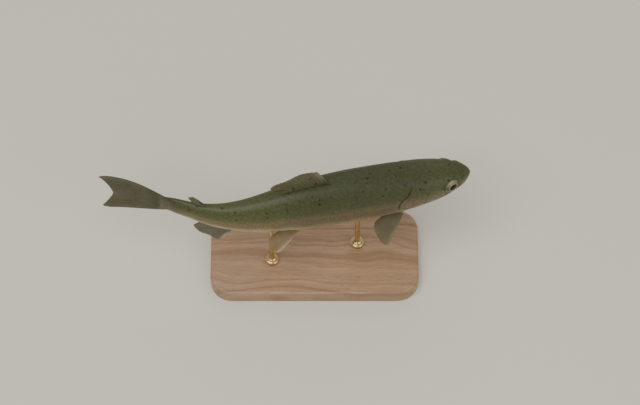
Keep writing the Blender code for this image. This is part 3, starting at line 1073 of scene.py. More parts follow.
@dataclass(frozen=True)
class HeadRelief:
    """Everything that stands out of the head or is cut into it.

    Lines are points of (share, height), both as shares of the standard length.

    Attributes:
        form: the body.
        eye: the eye that the skin leaves an opening for.
        coat_depth: how deep the skin lies under the body's surface.
        slit_line: the gill cover's rear edge, as rows of height and share.
        mouth_turns: the mouth's line, as rows of share and turn in degrees.
        mouth_end: the share at which the mouth's corner lies.
        jaw_plate: rows of share and the width of the upper jaw's plate over the mouth.
        ramus: rows of share and how far a side of the lower jaw lies from the keel.
        cheek_line: the edge of the cheek in front of the gill cover.
        lower_cover_line: the step low on the gill cover.
        throat_line: the step under it.
        under_eye_line: the low bones under the eye.
        nostrils: each one's share, height and radius in millimetres.
    """

    form: BodyForm
    eye: EyeFit
    coat_depth: float = 0.45 * MM
    slit_line: Table = (
        (-0.100, 0.120), (-0.092, 0.150), (-0.082, 0.186), (-0.052, 0.230),
        (-0.014, 0.247), (0.018, 0.241), (0.048, 0.214), (0.085, 0.195), (0.120, 0.190),
    )
    mouth_turns: Table = (
        (0.0, -16.0), (0.05, -23.0), (0.095, -31.0), (0.120, -38.0), (0.150, -36.0),
        (0.180, -30.0),
    )
    mouth_end: float = 0.120
    jaw_plate: Table = ((0.0, 0.005), (0.03, 0.010), (0.08, 0.014), (0.118, 0.017), (0.132, 0.002))
    ramus: Table = ((0.02, 0.0), (0.05, 0.013), (0.10, 0.025), (0.14, 0.036))
    cheek_line: Table = (
        (0.145, 0.048), (0.158, 0.024), (0.164, -0.006), (0.159, -0.034), (0.142, -0.055),
        (0.118, -0.066),
    )
    lower_cover_line: Table = ((0.166, -0.046), (0.205, -0.034), (0.244, -0.010))
    throat_line: Table = ((0.126, -0.074), (0.160, -0.066), (0.196, -0.058))
    under_eye_line: Table = ((0.040, 0.004), (0.070, -0.012), (0.105, -0.010), (0.128, 0.014))
    nostrils: Table = ((0.033, 0.0295, 0.75), (0.0405, 0.0300, 0.60))

    def slit(self, turn: Array) -> Array:
        """Give the share of the gill cover's edge at a turn.

        Args:
            turn: turns round the section.

        Returns:
            The shares.
        """
        share = np.full(np.shape(turn), 0.22)
        for _ in range(30):
            _, height = self.form.ring(share, turn)
            share = 0.5 * (share + smooth_table(self.slit_line, height / self.form.length))
        return share

    def mouth(self, share: Array) -> Array:
        """Give the turn of the mouth's line at a share."""
        return np.radians(smooth_table(self.mouth_turns, share))

    def carve(self, share: Array, turn: Array, slit: Array, behind: Array,
              side: Side) -> tuple[Array, Array]:
        """Work out how deep the skin lies, and the painted shade that its colour takes in the
        grooves.

        Args:
            share: shares of the standard length.
            turn: turns round the section.
            slit: the gill cover's edge at each turn, as a share.
            behind: true behind that edge.
            side: which side of the fish.

        Returns:
            The depth under the body's surface in metres, and a vector for each point: how much
            painted shade it takes in a groove, how near the eye, and how rosy.
        """
        form, length = self.form, self.form.length
        _, z = form.ring(share, turn)
        x, arc = share * length, form.arc(share, turn)
        depth = np.full(np.shape(x), self.coat_depth)
        # dark: painted shade, up to one, that the colour takes in slits, grooves and pits.
        dark = np.zeros_like(depth)

        # The gill cover stands over the shoulder behind it, up to the top of the slit.
        open_at = ease(0.082, 0.050, z / length)
        back = np.where(behind, (share - slit) * length, 0.0)
        drop = np.where(behind, np.exp(-back / (3.6 * MM)), 0.0) * open_at
        depth += MM * drop
        # Painted shade in the slit under the gill cover's edge.
        dark += np.where(behind, bell(back, 1.3 * MM), 0.0) * open_at
        ahead = np.where(behind, 1.0, (slit - share) * length)
        depth -= 0.16 * MM * bell(ahead - 0.9 * MM, 1.2 * MM) * open_at
        depth += 0.16 * MM * bell(ahead - 2.6 * MM, 1.1 * MM) * open_at

        # The mouth: a groove, the upper jaw's plate over it and the lower jaw under it.
        lip = arc - form.arc(share, self.mouth(share))
        closed = ease(self.mouth_end + 0.006, self.mouth_end - 0.004, share)
        depth += 1.1 * MM * bell(lip, 0.42 * MM) * closed * ease(-0.004, 0.016, share)
        # Painted shade along the mouth's groove.
        dark += 1.2 * bell(lip + 0.1 * MM, 0.60 * MM) * closed
        under = np.where(lip < 0, np.exp(lip / (2.8 * MM)), 0.0)
        depth += 0.75 * MM * under * closed * ease(0.0, 0.035, share)
        width = smooth_table(self.jaw_plate, share) * length
        plate = ease(0.0, 0.6 * MM, width - lip) * (lip > -0.05 * MM)
        plate = plate * ease(0.135, 0.128, share) * ease(0.004, 0.03, share)
        depth -= 0.28 * MM * plate
        rim = bell(lip - width - 0.2 * MM, 0.7 * MM) * ease(0.138, 0.128, share)
        depth += 0.34 * MM * rim * ease(0.016, 0.04, share)
        # Painted shade in the groove round the upper jaw's plate.
        dark += 0.55 * rim * ease(0.03, 0.06, share)

        # The lower jaw's two sides, with softer skin between them under the throat.
        keel = arc - form.arc(share, -QUARTER)
        between = smooth_table(self.ramus, share) * length - keel
        inner = ease(-0.4 * MM, 0.6 * MM, between) * ease(0.185, 0.15, share)
        depth += 0.40 * MM * inner * ease(0.018, 0.035, share)
        # Painted shade in the grooves beside the lower jaw.
        dark += 0.4 * bell(between, 0.8 * MM) * ease(0.02, 0.04, share) * (share < 0.14)
        rays = np.cos(2 * math.pi * np.clip(ahead, 0, 1) / (2.1 * MM))
        folds = ease(-0.62, -0.85, turn) * ease(0.105, 0.125, share) * ~behind
        depth += 0.09 * MM * rays * folds
        # Painted shade in the troughs of the throat's folds.
        dark += 0.22 * folds * ease(0.3, 1.0, rays)

        # The bones of the cheek and of the gill cover overlap with low steps.
        for line, fall, reach, groove in (
            (self.cheek_line, 0.42, 2.6, 0.30),
            (self.lower_cover_line, 0.26, 2.0, 0.22),
            (self.throat_line, 0.28, 2.0, 0.24),
            (self.under_eye_line, 0.12, 1.8, 0.14),
        ):
            away, along = follow(through(line) * length, x, z)
            ends = ease(0.0, 0.12, along) * ease(1.0, 0.88, along)
            low = np.exp(np.minimum(away, 0.0) / (reach * MM))
            low = low * ease(0.30 * MM, -0.45 * MM, away)
            depth += (fall * low + groove * bell(away, 0.85 * MM)) * MM * ends * ~behind
            # Painted shade in the groove along each step.
            dark += 0.45 * bell(away, 0.9 * MM) * ends * ~behind

        for at, up, radius in self.nostrils:
            away = np.hypot(x - at * length, z - up * length)
            depth += 0.9 * MM * bell(away, radius * MM)
            depth -= 0.14 * MM * bell(away - 1.25 * radius * MM, 0.5 * MM)
            # Painted shade in the nostrils' pits.
            dark += bell(away, radius * MM)

        # Round the eye the skin comes to the ball's own surface, and passes under it inside.
        centre, out, _, _ = self.eye.frame(form, side)
        base, normal, _ = form.surface(share, turn, side)
        from_eye = base - centre
        off = from_eye @ out
        radius = np.sqrt(np.maximum((from_eye**2).sum(-1) - off**2, 0.0))
        radius = np.where(off < -self.eye.radius, 1.0, radius)
        opening = self.eye.opening
        facing = np.maximum(normal @ out, 0.35)
        wanted = self.eye.front(np.minimum(radius, opening)) + 0.10 * MM
        wanted -= 0.55 * np.maximum(radius - opening, 0.0)
        wanted -= 1.1 * MM * ease(opening + 0.15 * MM, opening - 0.45 * MM, radius)
        near = ease(opening + 2.8 * MM, opening + 0.2 * MM, radius)
        depth += near * ((off - wanted) / facing - depth)
        # Full painted shade where the skin passes under the ball.
        inside = ease(opening + 0.1 * MM, opening - 0.4 * MM, radius)
        dark = np.clip(dark * (1 - near) + inside, 0.0, 1.0)
        near = bell(radius - opening, 1.3 * MM)

        blush = np.exp(-(((share - 0.205) / 0.034) ** 2) - ((z / length + 0.006) / 0.034) ** 2)
        blush = 0.62 * blush * np.where(behind, 0.6, 1.0)
        cheek = np.exp(-(((share - 0.135) / 0.022) ** 2) - ((z / length + 0.012) / 0.020) ** 2)
        blush = np.maximum(blush, 0.25 * cheek)
        return depth, np.stack([dark, near, blush], axis=-1)


@dataclass
class TroutSkin:
    """One skin over the whole body, from the snout to the root of the tail fin.

    Attributes:
        form: the body.
        relief: what is carved into it.
        columns: how many faces go up one side.
        head_step: the share between rows on the head.
        trunk_step: the share between rows on the trunk.
        slit_row: the row that is drawn to the gill cover's edge.
        trunk_end: the share from which the rows lie closer again.
        lip_column: the turn whose column is drawn to the mouth's line.
        lip_reach: how far from it columns are drawn along.
        end_half: half the thickness of the skin's last row, at the tail fin.
        end_hollow: how far that row is drawn forwards in its middle, as a share.
        end_edge: the same at its upper and lower edge.
        solids: the solids of flesh that the skin stands for.
    """

    form: BodyForm
    relief: HeadRelief
    columns: int = 138
    head_step: float = 0.0015
    trunk_step: float = 0.0075
    slit_row: float = 0.225
    trunk_end: float = 0.972
    lip_column: float = math.radians(-30.0)
    lip_reach: float = math.radians(44.0)
    end_half: float = 0.26 * MM
    end_hollow: float = 0.014
    end_edge: float = 0.007
    solids: tuple[str, ...] = (
        "head", "lower_jaw", "gill_cover_left", "gill_cover_right", "shoulder", "trunk",
        "tail_stem",
    )

    def rows(self) -> Array:
        """List the rows' shares before they are drawn to the gill cover's edge.

        Returns:
            The shares, from the snout back.
        """
        round_off = self.form.nose_round
        tip = round_off * (1 - np.cos(QUARTER * np.arange(1, 23) / 22))
        head = np.arange(round_off + self.head_step, self.slit_row - 0.001, self.head_step)
        edge = self.slit_row + np.array([-0.0004, 0.0004])
        shoulder = edge[1] + np.cumsum(np.geomspace(self.head_step, self.trunk_step, 16))
        trunk = np.arange(shoulder[-1] + self.trunk_step, self.trunk_end, self.trunk_step)
        tail = np.linspace(trunk[-1], 1.0, 12)[1:]
        return np.concatenate([tip, head, edge, shoulder, trunk, tail])

    def turns(self) -> Array:
        """List the columns' turns before they are drawn to the mouth's line.

        Returns:
            The turns, from the keel up.
        """
        even = np.linspace(-QUARTER, QUARTER, self.columns + 1)
        near = np.radians([0.3, 0.9, 1.7, 2.7, 3.8])
        apart = np.abs(even - self.lip_column) > math.radians(4.4)
        fine = [self.lip_column - near, self.lip_column + near]
        return np.sort(np.concatenate([even[apart], *fine]))

    def end(self, turn: Array) -> Array:
        """Give the share at which the skin ends on the tail fin, at a turn."""
        return 1 - self.end_edge - (self.end_hollow - self.end_edge) * np.cos(turn) ** 2

    def half(self, side: Side) -> tuple[Array, Array, Array]:
        """Work out one side of the skin as a grid.

        Args:
            side: which side.

        Returns:
            The grid's points, with their chart and their features.
        """
        rows, turns = self.rows()[:, None], self.turns()[None, :]
        slit = np.broadcast_to(self.relief.slit(turns), (rows.size, turns.size))
        draw = ease(0.125, self.slit_row, rows) * ease(0.42, self.slit_row, rows)
        share = rows + draw * (slit - self.slit_row)
        share = share - ease(0.94, 1.0, rows) * (1 - self.end(turns))
        pull = np.cos(np.clip((turns - self.lip_column) / self.lip_reach, -1, 1) * QUARTER) ** 2
        turn = turns + pull * (self.relief.mouth(share) - self.lip_column)
        behind = np.broadcast_to(rows > self.slit_row, share.shape)
        points, features = self.points(share, turn, slit, behind, side)
        return points, self.chart(share, turn, side), features

    def points(self, share: Array, turn: Array, slit: Array, behind: Array,
               side: Side) -> tuple[Array, Array]:
        """Put points on the carved skin, which narrows to an edge inside the tail fin.

        Args:
            share: shares of the standard length.
            turn: turns round the section.
            slit: the gill cover's edge at each turn, as a share.
            behind: true behind that edge.
            side: which side of the fish.

        Returns:
            The points, and the features of the relief there.
        """
        depth, features = self.relief.carve(share, turn, slit, behind, side)
        points, out, _ = self.form.surface(share, turn, side)
        _, _, width, _ = self.form.section(share)
        thin = ease(0.945, 1.0, share + 1 - self.end(turn))
        thin = thin * np.maximum(width - self.end_half, 0.0)
        middle = self.form.leftwards(share) * side.value
        points = points - out * depth[..., None]
        return points - (np.cos(turn) * thin)[..., None] * middle, features

    def chart(self, share: Array, turn: Array, side: Side) -> Array:
        """Place the markings on the skin.

        Args:
            share: shares of the standard length.
            turn: turns round the section.
            side: which side of the fish.

        Returns:
            Metres along, metres down from the crest, and the level, which is one on the
            crest, nought on the widest line and minus one on the keel.
        """
        arc = self.form.arc(share, turn)
        top = self.form.arc(share, QUARTER)
        bottom = self.form.arc(share, -QUARTER)
        level = np.where(arc > 0, arc / top, -arc / bottom)
        return np.stack([share * self.form.length, side.value * (top - arc), level], axis=-1)

    def build(self, finish: Material) -> None:
        """Make the skin and let it stand for the solids of flesh.

        Args:
            finish: its material.
        """
        # The two sides share the crest's and the keel's columns.
        points, charts, features = (
            np.concatenate([left, right[:, -2:0:-1]], axis=1)
            for left, right in zip(self.half(Side.LEFT), self.half(Side.RIGHT)))
        rows, count = points.shape[:2]
        crest, end, pole = count // 2, (rows - 1) * count, rows * count
        tip = self.form.place(1.1 * self.relief.coat_depth / self.form.length, 0.0, 0.0)
        faces = grid_faces(rows, count)
        # The last ring is closed straight across, from left to right.
        faces += [(end + j, end + count - j, end + count - j - 1, end + j + 1)
                  for j in range(1, crest - 1)]
        faces += [(end, end + count - 1, end + 1), (end + crest - 1, end + crest + 1, end + crest)]
        faces += fan(pole, 0, count)
        mesh = make_mesh("skin", np.vstack([points.reshape(-1, 3), tip]), faces, 75.0)
        add_attribute(mesh, "chart", np.vstack([charts.reshape(-1, 3), [0.0, 0.0, 0.2]]))
        # The snout's tip point takes full painted shade.
        add_attribute(mesh, "features", np.vstack([features.reshape(-1, 3), [1.0, 0.0, 0.0]]))
        self.unwrap(mesh, rows, count)
        add_piece(mesh, finish, Slot.SKIN, *self.solids)

    def unwrap(self, mesh: Mesh, rows: int, count: int) -> None:
        """Lay the skin flat: along the fish, and round it from the keel.

        Args:
            mesh: the skin.
            rows: how many rings of vertices it has.
            count: how many vertices a ring has.
        """
        vertex = numbers_of(mesh.loops, "vertex_index")
        starts = numbers_of(mesh.polygons, "loop_start")
        totals = numbers_of(mesh.polygons, "loop_total")
        face = np.repeat(np.arange(len(starts)), totals)
        u = np.append(np.repeat(self.rows(), count), 0.0)[vertex]
        v = (vertex % count) / count
        # A ring's last face ends on its first vertex, which there lies one turn further on.
        highest = np.maximum.reduceat(v, starts)[face]
        in_ring = (face < (rows - 1) * count) | (vertex < count)
        v = np.where((highest > 0.9) & (v < 0.1) & in_ring, v + 1.0, v)
        v = np.where(vertex == rows * count, np.repeat(v[starts + 1], totals), v)
        add_map(mesh, np.stack([0.002 + 0.996 * u, 0.002 + 0.996 * np.clip(v, 0, 1)], axis=-1))


# ------------ scales
@dataclass
class ScaleCoat:
    """The scales of one side, set out in slanting rows and laid like tiles.

    Attributes:
        form: the body.
        skin: the skin that they lie on.
        side: which side of the fish.
        along: rows of share and the distance from one scale to the next, in millimetres.
        across: rows of share and the distance between rows, in millimetres.
        first_row: the share at which the rows start, ahead of the gill cover's rear edge.
        starts_behind: how far behind the gill cover's edge the scales start.
        size_spread: by how much the scales' sizes differ.
        patch: how wide a scale's own part of the unwrap is.
        seed: of the scales' own tones and sizes.
    """

    form: BodyForm
    skin: TroutSkin
    side: Side
    along: Table = ((0.15, 1.45), (0.45, 1.60), (0.75, 1.40), (0.90, 1.15), (1.0, 0.95))
    across: Table = ((0.15, 1.45), (0.45, 1.62), (0.75, 1.25), (0.90, 0.98), (1.0, 0.90))
    first_row: float = 0.16
    starts_behind: float = 1.2 * MM
    size_spread: float = 0.07
    patch: float = 0.003
    seed: int = 11

    def roots(self) -> Array:
        """Set out the scales' roots on the skin.

        Returns:
            A row for each root: its share, turn, spacing along and spacing across.
        """
        length = self.form.length
        found = []
        share, odd = self.first_row, False
        while share < 1.0:
            step, row = (smooth_table(table, share) * MM for table in (self.along, self.across))
            bottom, top = (self.form.arc(share, turn) for turn in (-QUARTER, QUARTER))
            places = (np.arange(-60, 61) + (0.5 if odd else 0.0)) * row
            edge = row * (0.25 + 0.5 * ease(0.84, 0.94, share))
            places = places[(places < top - edge) & (places > bottom + edge)]
            turn = self.form.turns_at(share, places)
            behind = (share - self.skin.relief.slit(turn)) * length
            before_end = self.skin.end(turn) - 0.003 - 0.030 * np.sin(turn) ** 6
            turn = turn[(behind > self.starts_behind) & (share < before_end)]
            found.append(np.column_stack(np.broadcast_arrays(share, turn, step, row)))
            share, odd = share + step / length, not odd
        return np.vstack(found)

    @staticmethod
    def plate() -> bpy.types.Object:
        """Make one scale: a thin plate with a round rear edge that stands off the skin.

        Returns:
            The plate as an object, in units of a root's two spacings.
        """
        angles = np.radians(np.linspace(-86, 86, 9))
        rear = np.stack([0.02 + 0.98 * np.cos(angles), 0.62 * np.sin(angles)], axis=-1)
        outline = np.vstack([rear, [[-0.85, 0.42], [-0.85, -0.42]]])
        count = len(outline)
        inner = [0.10, 0.0] + (outline - [0.10, 0.0]) * 0.66
        flat = np.vstack([outline, inner, [[0.10, 0.0], [0.10, 0.0]]])
        lift = -0.06 * MM + 0.15 * MM * (flat[:, 0] + 0.85) / 1.85
        lift[:len(angles)] -= 0.035 * MM * np.sin(angles) ** 2
        lift[count:-1] += 0.012 * MM
        lift[-1] -= 0.05 * MM
        faces: Faces = []
        for k in range(count):
            n = (k + 1) % count
            faces += [(k, n, count + n, count + k), (count + k, count + n, 2 * count)]
            faces.append((n, k, 2 * count + 1))
        mesh = make_mesh("scale_plate", np.column_stack([flat, lift]), faces, 180.0)
        rim = np.where(outline[:, 0] > -0.5, 1.0, 0.3)
        rim = np.concatenate([rim, np.full(count, 0.25), [0.0, 0.6]])
        add_attribute(mesh, "local", np.column_stack([flat, rim]))
        return link("scale_plate", mesh)

    def tree(self) -> tuple[bpy.types.NodeTree, dict[str, str]]:
        """Build the node tree that lays a plate on every root.

        Returns:
            The tree, and the identifier of each of its inputs by name.
        """
        tree = bpy.data.node_groups.new("lay_scales", "GeometryNodeTree")
        add, face = Nodes(tree).node, tree.interface.new_socket
        names = {
            name: face(name, in_out="INPUT", socket_type=f"NodeSocket{kind}").identifier
            for name, kind in (("Roots", "Geometry"), ("Plate", "Object"), ("Finish", "Material"),
                               ("Smallest", "Float"), ("Largest", "Float"), ("Seed", "Int"))
        }
        face("Scales", in_out="OUTPUT", socket_type="NodeSocketGeometry")
        given = add("NodeGroupInput").outputs

        def stored(name: str) -> Socket:
            """Read a vector that the root carries."""
            return add("GeometryNodeInputNamedAttribute", {"Name": name},
                       data_type="FLOAT_VECTOR").outputs["Attribute"]

        plate = add("GeometryNodeObjectInfo", {"Object": given["Plate"]})
        lean = add("FunctionNodeAxesToRotation",
                   {"Primary Axis": stored("out"), "Secondary Axis": stored("rear")},
                   primary_axis="Z", secondary_axis="X")
        varied = add("FunctionNodeRandomValue", {
            "Min_001": given["Smallest"], "Max_001": given["Largest"], "Seed": given["Seed"]})
        size = add("ShaderNodeVectorMath", {
            "Vector": stored("size"), "Scale": varied.outputs[1]}, operation="SCALE")
        laid = add("GeometryNodeInstanceOnPoints", {
            "Points": given["Roots"], "Instance": plate.outputs["Geometry"],
            "Rotation": lean.outputs["Rotation"], "Scale": size.outputs[0]})
        real = add("GeometryNodeRealizeInstances", {"Geometry": laid.outputs["Instances"]})
        dressed = add("GeometryNodeSetMaterial", {
            "Geometry": real.outputs["Geometry"], "Material": given["Finish"]})
        tree.links.new(dressed.outputs["Geometry"], add("NodeGroupOutput").inputs[0])
        return tree, names

    def bed(self, roots: Array) -> Mesh:
        """Make a cloud of root points that carries all that a scale needs.

        Args:
            roots: what `roots` gave, or a part of it.

        Returns:
            A mesh of single points.
        """
        skin, side = self.skin, self.side
        share, turn, along, across = roots.T
        length = self.form.length

        def point(at: Array, around: Array) -> tuple[Array, Array]:
            """Give points on the skin and their features."""
            slit = skin.relief.slit(around)
            return skin.points(at, around, slit, at > slit, side)

        points, features = point(share, turn)
        run, rise = 0.7 * MM / length, 0.02
        rear = point(np.minimum(share + run, 1.0), turn)[0] - point(share - run, turn)[0]
        up = point(share, turn + rise)[0] - point(share, turn - rise)[0]
        out = unit(np.cross(rear, up) * side.value)
        bed = bpy.data.meshes.new("scale_roots")
        bed.from_pydata(points.tolist(), [], [])
        add_attribute(bed, "out", out)
        add_attribute(bed, "rear", unit(rear))
        back = (share - skin.relief.slit(turn)) * length
        flat = ease(0.0, 9 * MM, back) * ease(1.0, 0.94, share)
        add_attribute(bed, "size", np.column_stack([along, across, 0.45 + 0.55 * flat]))
        add_attribute(bed, "chart", skin.chart(share, turn, side))
        add_attribute(bed, "features", features)
        random = np.random.default_rng(self.seed + side.value)
        add_attribute(bed, "tone", random.random(len(share)))
        bottom = self.form.arc(share, -QUARTER)
        top = self.form.arc(share, QUARTER)
        part = 0.5 * (self.form.arc(share, turn) - bottom) / (top - bottom)
        part = part if side is Side.LEFT else 1 - part
        add_attribute(bed, "unwrap", np.column_stack([share, part, np.zeros_like(part)]))
        return bed

    def build(self, finish: Material) -> None:
        """Lay the scales of this side, as two plain meshes over and under its middle.

        Args:
            finish: their material.
        """
        roots, plate = self.roots(), self.plate()
        tree, names = self.tree()
        settings = {"Plate": plate, "Finish": finish, "Smallest": 1 - self.size_spread,
                    "Largest": 1 + self.size_spread, "Seed": self.seed}
        for word, chosen in (("upper", roots[:, 1] > 0), ("lower", roots[:, 1] <= 0)):
            carrier = link("scale_roots", self.bed(roots[chosen]))
            laying = carrier.modifiers.new("lay", "NODES")
            laying.node_group = tree
            for name, value in settings.items():
                laying[names[name]] = value
            graph = bpy.context.evaluated_depsgraph_get()
            mesh = bpy.data.meshes.new_from_object(
                carrier.evaluated_get(graph), preserve_all_data_layers=True, depsgraph=graph)
            bpy.data.objects.remove(carrier)
            mesh.name = f"{word}_scales_{self.side.name.lower()}"
            self.mark(mesh)
            add_piece(mesh, finish, Slot.SKIN)
        bpy.data.objects.remove(plate)

    def mark(self, mesh: Mesh) -> None:
        """Carry the markings over each scale, and give each its patch of the unwrap.

        Args:
            mesh: the laid scales, with all that their roots carried.
        """
        mesh.shade_smooth()
        mesh.set_sharp_from_angle(angle=math.radians(50))
        local, size, chart, unwrap = (
            numbers_of(mesh.attributes[name].data, "vector", 3, np.float32)
            for name in ("local", "size", "chart", "unwrap"))
        tone = numbers_of(mesh.attributes["tone"].data, "value", 1, np.float32)
        spread = local[:, :2] * size[:, :2]
        chart[:, 0] += spread[:, 0]
        chart[:, 1] -= spread[:, 1]
        add_attribute(mesh, "plate", np.column_stack([tone, local[:, 2], 0 * tone]))
        add_attribute(mesh, "chart", chart)
        patch = unwrap[:, :2] + local[:, :2] * self.patch / 2
        add_map(mesh, 0.002 + 0.996 * patch[numbers_of(mesh.loops, "vertex_index")])
        for name in ("local", "size", "unwrap", "tone", "out", "rear"):
            mesh.attributes.remove(mesh.attributes[name])


# ------------ fins
@dataclass(frozen=True)
class FinOutline:
    """A fin's outline in its own plane, in shares of the standard length.

    Attributes:
        root_front: the root's front end.
        root_rear: its rear end.
        tip: the margin's front end.
        corner: the margin's rear end.
        bulge: how far the margin's middle is pushed out.
        rounding: how far its two corners are taken back.
    """

    root_front: tuple[float, float]
    root_rear: tuple[float, float]
    tip: tuple[float, float]
    corner: tuple[float, float]
    bulge: float
    rounding: float

    def shape(self, u: Array, v: Array) -> tuple[Array, Array]:
        """Give a place from u, leading to trailing edge, and v, root to margin.

        Args:
            u: how far across the fin, from 0 to 1.
            v: how far out, from 0 to 1.

        Returns:
            The two coordinates in the fin's plane, in shares.
        """
        a, b, c, d = np.array((self.root_front, self.root_rear, self.tip, self.corner))
        outward = unit(np.array([-(d - c)[1], (d - c)[0]]))
        outward = -outward if outward @ (c - a) < 0 else outward
        u, v = u[..., None], v[..., None]
        root, margin = a + (b - a) * u, c + (d - c) * u
        margin = margin + outward * self.bulge * 4 * u * (1 - u)
        reach = 1 - self.rounding * np.abs(2 * u - 1) ** 5
        place = root + (margin - root) * v * reach
        return place[..., 0], place[..., 1]


@dataclass(frozen=True)
class TailOutline:
    """The tail fin's outline, from its lower edge, u = 0, to its upper one.

    Attributes:
        root: the share at which it starts, and half its height there.
        fork: the share to which its middle reaches.
        lobe: the share to which its lobes reach.
        spread: half its height at the margin.
        fork_power: how sharp the fork is.
        tip_from: where a lobe's tip starts to round off, from 0 to 1.
        tip_round: by how much it does.
        edge_bow: how far the upper and lower edges swell outwards.
    """

    root: tuple[float, float] = (0.975, 0.044)
    fork: float = 1.143
    lobe: float = 1.192
    spread: float = 0.100
    fork_power: float = 1.7
    tip_from: float = 0.86
    tip_round: float = 0.035
    edge_bow: float = 0.012

    def shape(self, u: Array, v: Array) -> tuple[Array, Array]:
        """Give a place from u, lower to upper edge, and v, root to margin.

        Args:
            u: how far across the fin, from 0 to 1.
            v: how far out, from 0 to 1.

        Returns:
            The share and the height, both in shares.
        """
        high = 2 * u - 1
        swell = (self.lobe - self.fork) * np.abs(high) ** self.fork_power
        tip = np.clip((np.abs(high) - self.tip_from) / (1 - self.tip_from), 0, 1) ** 2
        share = self.fork + swell - self.tip_round * tip
        bow = self.edge_bow * np.sin(math.pi * v) * high * np.abs(high)
        return (self.root[0] + (share - self.root[0]) * v,
                self.root[1] * high + (self.spread - self.root[1]) * high * v + bow)


@dataclass
class RayedFin:
    """A thin fin on jointed, branching rays.

    Attributes:
        form: the body that it stands on.
        name: the name of the solid that it stands for.
        shape: the outline in the fin's own plane, in shares.
        rays: how many rays it has.
        stiff: how many of the first rays don't branch.
        membrane: half the thickness between the rays.
        ray: how far a ray stands out at its root.
        flesh: how much thicker the root is, to each side.
        ripple: how far the margin waves to each side.
        fray: how far the margin dips between rays, as a share of the fin's reach.
        joint: the length of a ray's joints.
        sink: how deep the root stays in the body.
        per_ray: columns of the mesh for each ray.
        out: rows of the mesh.
        seed: of the margin's wear.
        both_ends_stiff: whether the last rays don't branch either.
    """

    form: BodyForm
    name: str
    shape: Shape
    rays: int
    stiff: int = 2
    membrane: float = 0.14 * MM
    ray: float = 0.26 * MM
    flesh: float = 0.60 * MM
    ripple: float = 0.5 * MM
    fray: float = 0.014
    joint: float = 1.5 * MM
    sink: float = 1.5 * MM
    per_ray: int = 12
    out: int = 44
    seed: int = 3
    both_ends_stiff: bool = False

    def stand(self, u: Array, v: Array) -> tuple[Array, Array]:
        """Give points of the fin's middle surface.

        Args:
            u: shares across the fin.
            v: shares from its root to its margin.

        Returns:
            The points, and the way across the fin at each.
        """
        x, y = self.shape(u, v)
        wave = np.sin(2 * math.pi * (1.7 * u + 0.13 * self.rays)) * v**2 * self.ripple
        return self.form.place(x, wave, y * self.form.length), self.form.leftwards(x)

    def chart(self, share: Array, height: Array) -> Array:
        """Place the body's markings on the fin, for its root.

        Args:
            share: shares of the standard length.
            height: heights over the axis, as such shares.

        Returns:
            The chart's three numbers for each point.
        """
        crest, keel, _, waist = self.form.section(share)
        rise = height * self.form.length - waist
        level = np.clip(rise / np.where(rise > 0, crest - waist, waist - keel), -1.0, 1.0)
        return np.stack([share * self.form.length, (1 - level) * 30 * MM, level], -1)

    def covered(self, u: Array, v: Array) -> Array:
        """Tell which points of the middle surface lie inside the body.

        Args:
            u: shares across the fin.
            v: shares from its root to its margin.

        Returns:
            True for each point that does.
        """
        x, y = self.shape(u, v)
        crest, keel, _, _ = self.form.section(x)
        height = y * self.form.length
        return (height < crest) & (height > keel) & (x < 0.999)

    def starts(self, u: Array) -> Array:
        """Find how far out each column leaves the body, less a little that stays sunk.

        Args:
            u: how far across the fin each column lies.

        Returns:
            How far out, from 0 to 1.
        """
        v = np.linspace(0.0, 1.0, 160)
        inside = self.covered(*np.broadcast_arrays(u[:, None], v[None, :]))
        last = np.where(inside, np.arange(len(v))[None, :], 0).max(1)
        points, _ = self.stand(np.stack([u, u], 1), np.stack([0 * u, 0 * u + 1], 1))
        reach = np.linalg.norm(points[:, 1] - points[:, 0], axis=-1)
        return np.clip(v[last] - self.sink / np.maximum(reach, 1e-4), 0.0, 0.9)

    def ridges(self, u: Array, v: Array, reach: Array) -> Array:
        """Give how much of a ray each point is on, from 0 to 1, with branches and joints.

        Args:
            u: how far across the fin, from 0 to 1.
            v: how far out, from 0 to 1.
            reach: the fin's reach at each column, in metres.

        Returns:
            One on a ray's crest and nought between the rays.
        """
        place = u * self.rays
        number = np.clip(np.floor(place), 0, self.rays - 1)
        off = place - number - 0.5
        soft = number >= self.stiff
        if self.both_ends_stiff:
            soft &= number < self.rays - self.stiff
        first = 0.20 * ease(0.34, 0.62, v) * soft
        second = 0.11 * ease(0.62, 0.88, v) * soft
        width = np.where(soft, 0.24 - 0.14 * ease(0.3, 0.8, v), 0.34 - 0.10 * v)
        crest = np.zeros_like(u)
        for a in (-1, 1):
            for b in (-1, 1):
                crest = np.maximum(crest, bell(off - a * first - b * second, width))
        joints = np.cos(2 * math.pi * v * reach / self.joint)
        nick = ease(0.72, 1.0, joints) * ease(0.22, 0.4, v) * soft
        return crest * (1 - 0.45 * nick)

    def build(self, finish: Material) -> None:
        """Make the fin as one closed mesh and let it stand for its solid.

        Args:
            finish: its material.
        """
        u = np.linspace(0.0, 1.0, self.rays * self.per_ray + 1)
        v = np.linspace(0.0, 1.0, self.out + 1)
        start = self.starts(u)
        knots = np.linspace(0, 1, self.rays * 2 + 1)
        wear = np.random.default_rng(self.seed).random(len(knots))
        worn = np.interp(u, knots, wear) * 0.5 * self.fray
        between = np.cos(2 * math.pi * (u * self.rays - 0.5)) * 0.5 + 0.5
        end = 1 - self.fray * (1 - between) - worn
        grid_u, out = np.meshgrid(u, v, indexing="ij")
        grid_v = start[:, None] + (end - start)[:, None] * out
        middle, across = self.stand(grid_u, grid_v)
        reach = np.linalg.norm(middle[:, -1] - middle[:, 0], axis=-1)[:, None]
        ridge = self.ridges(grid_u, out, reach)
        edge = 1 - 0.55 * np.abs(2 * grid_u - 1) ** 14
        half = self.membrane + self.ray * ridge * (1 - 0.72 * out) * ease(0.0, 0.16, out)
        half = half + self.flesh * (1 - out) ** 4 * ease(-0.02, 0.07, out)
        half = (half * edge * (1 - 0.35 * out**6))[..., None]

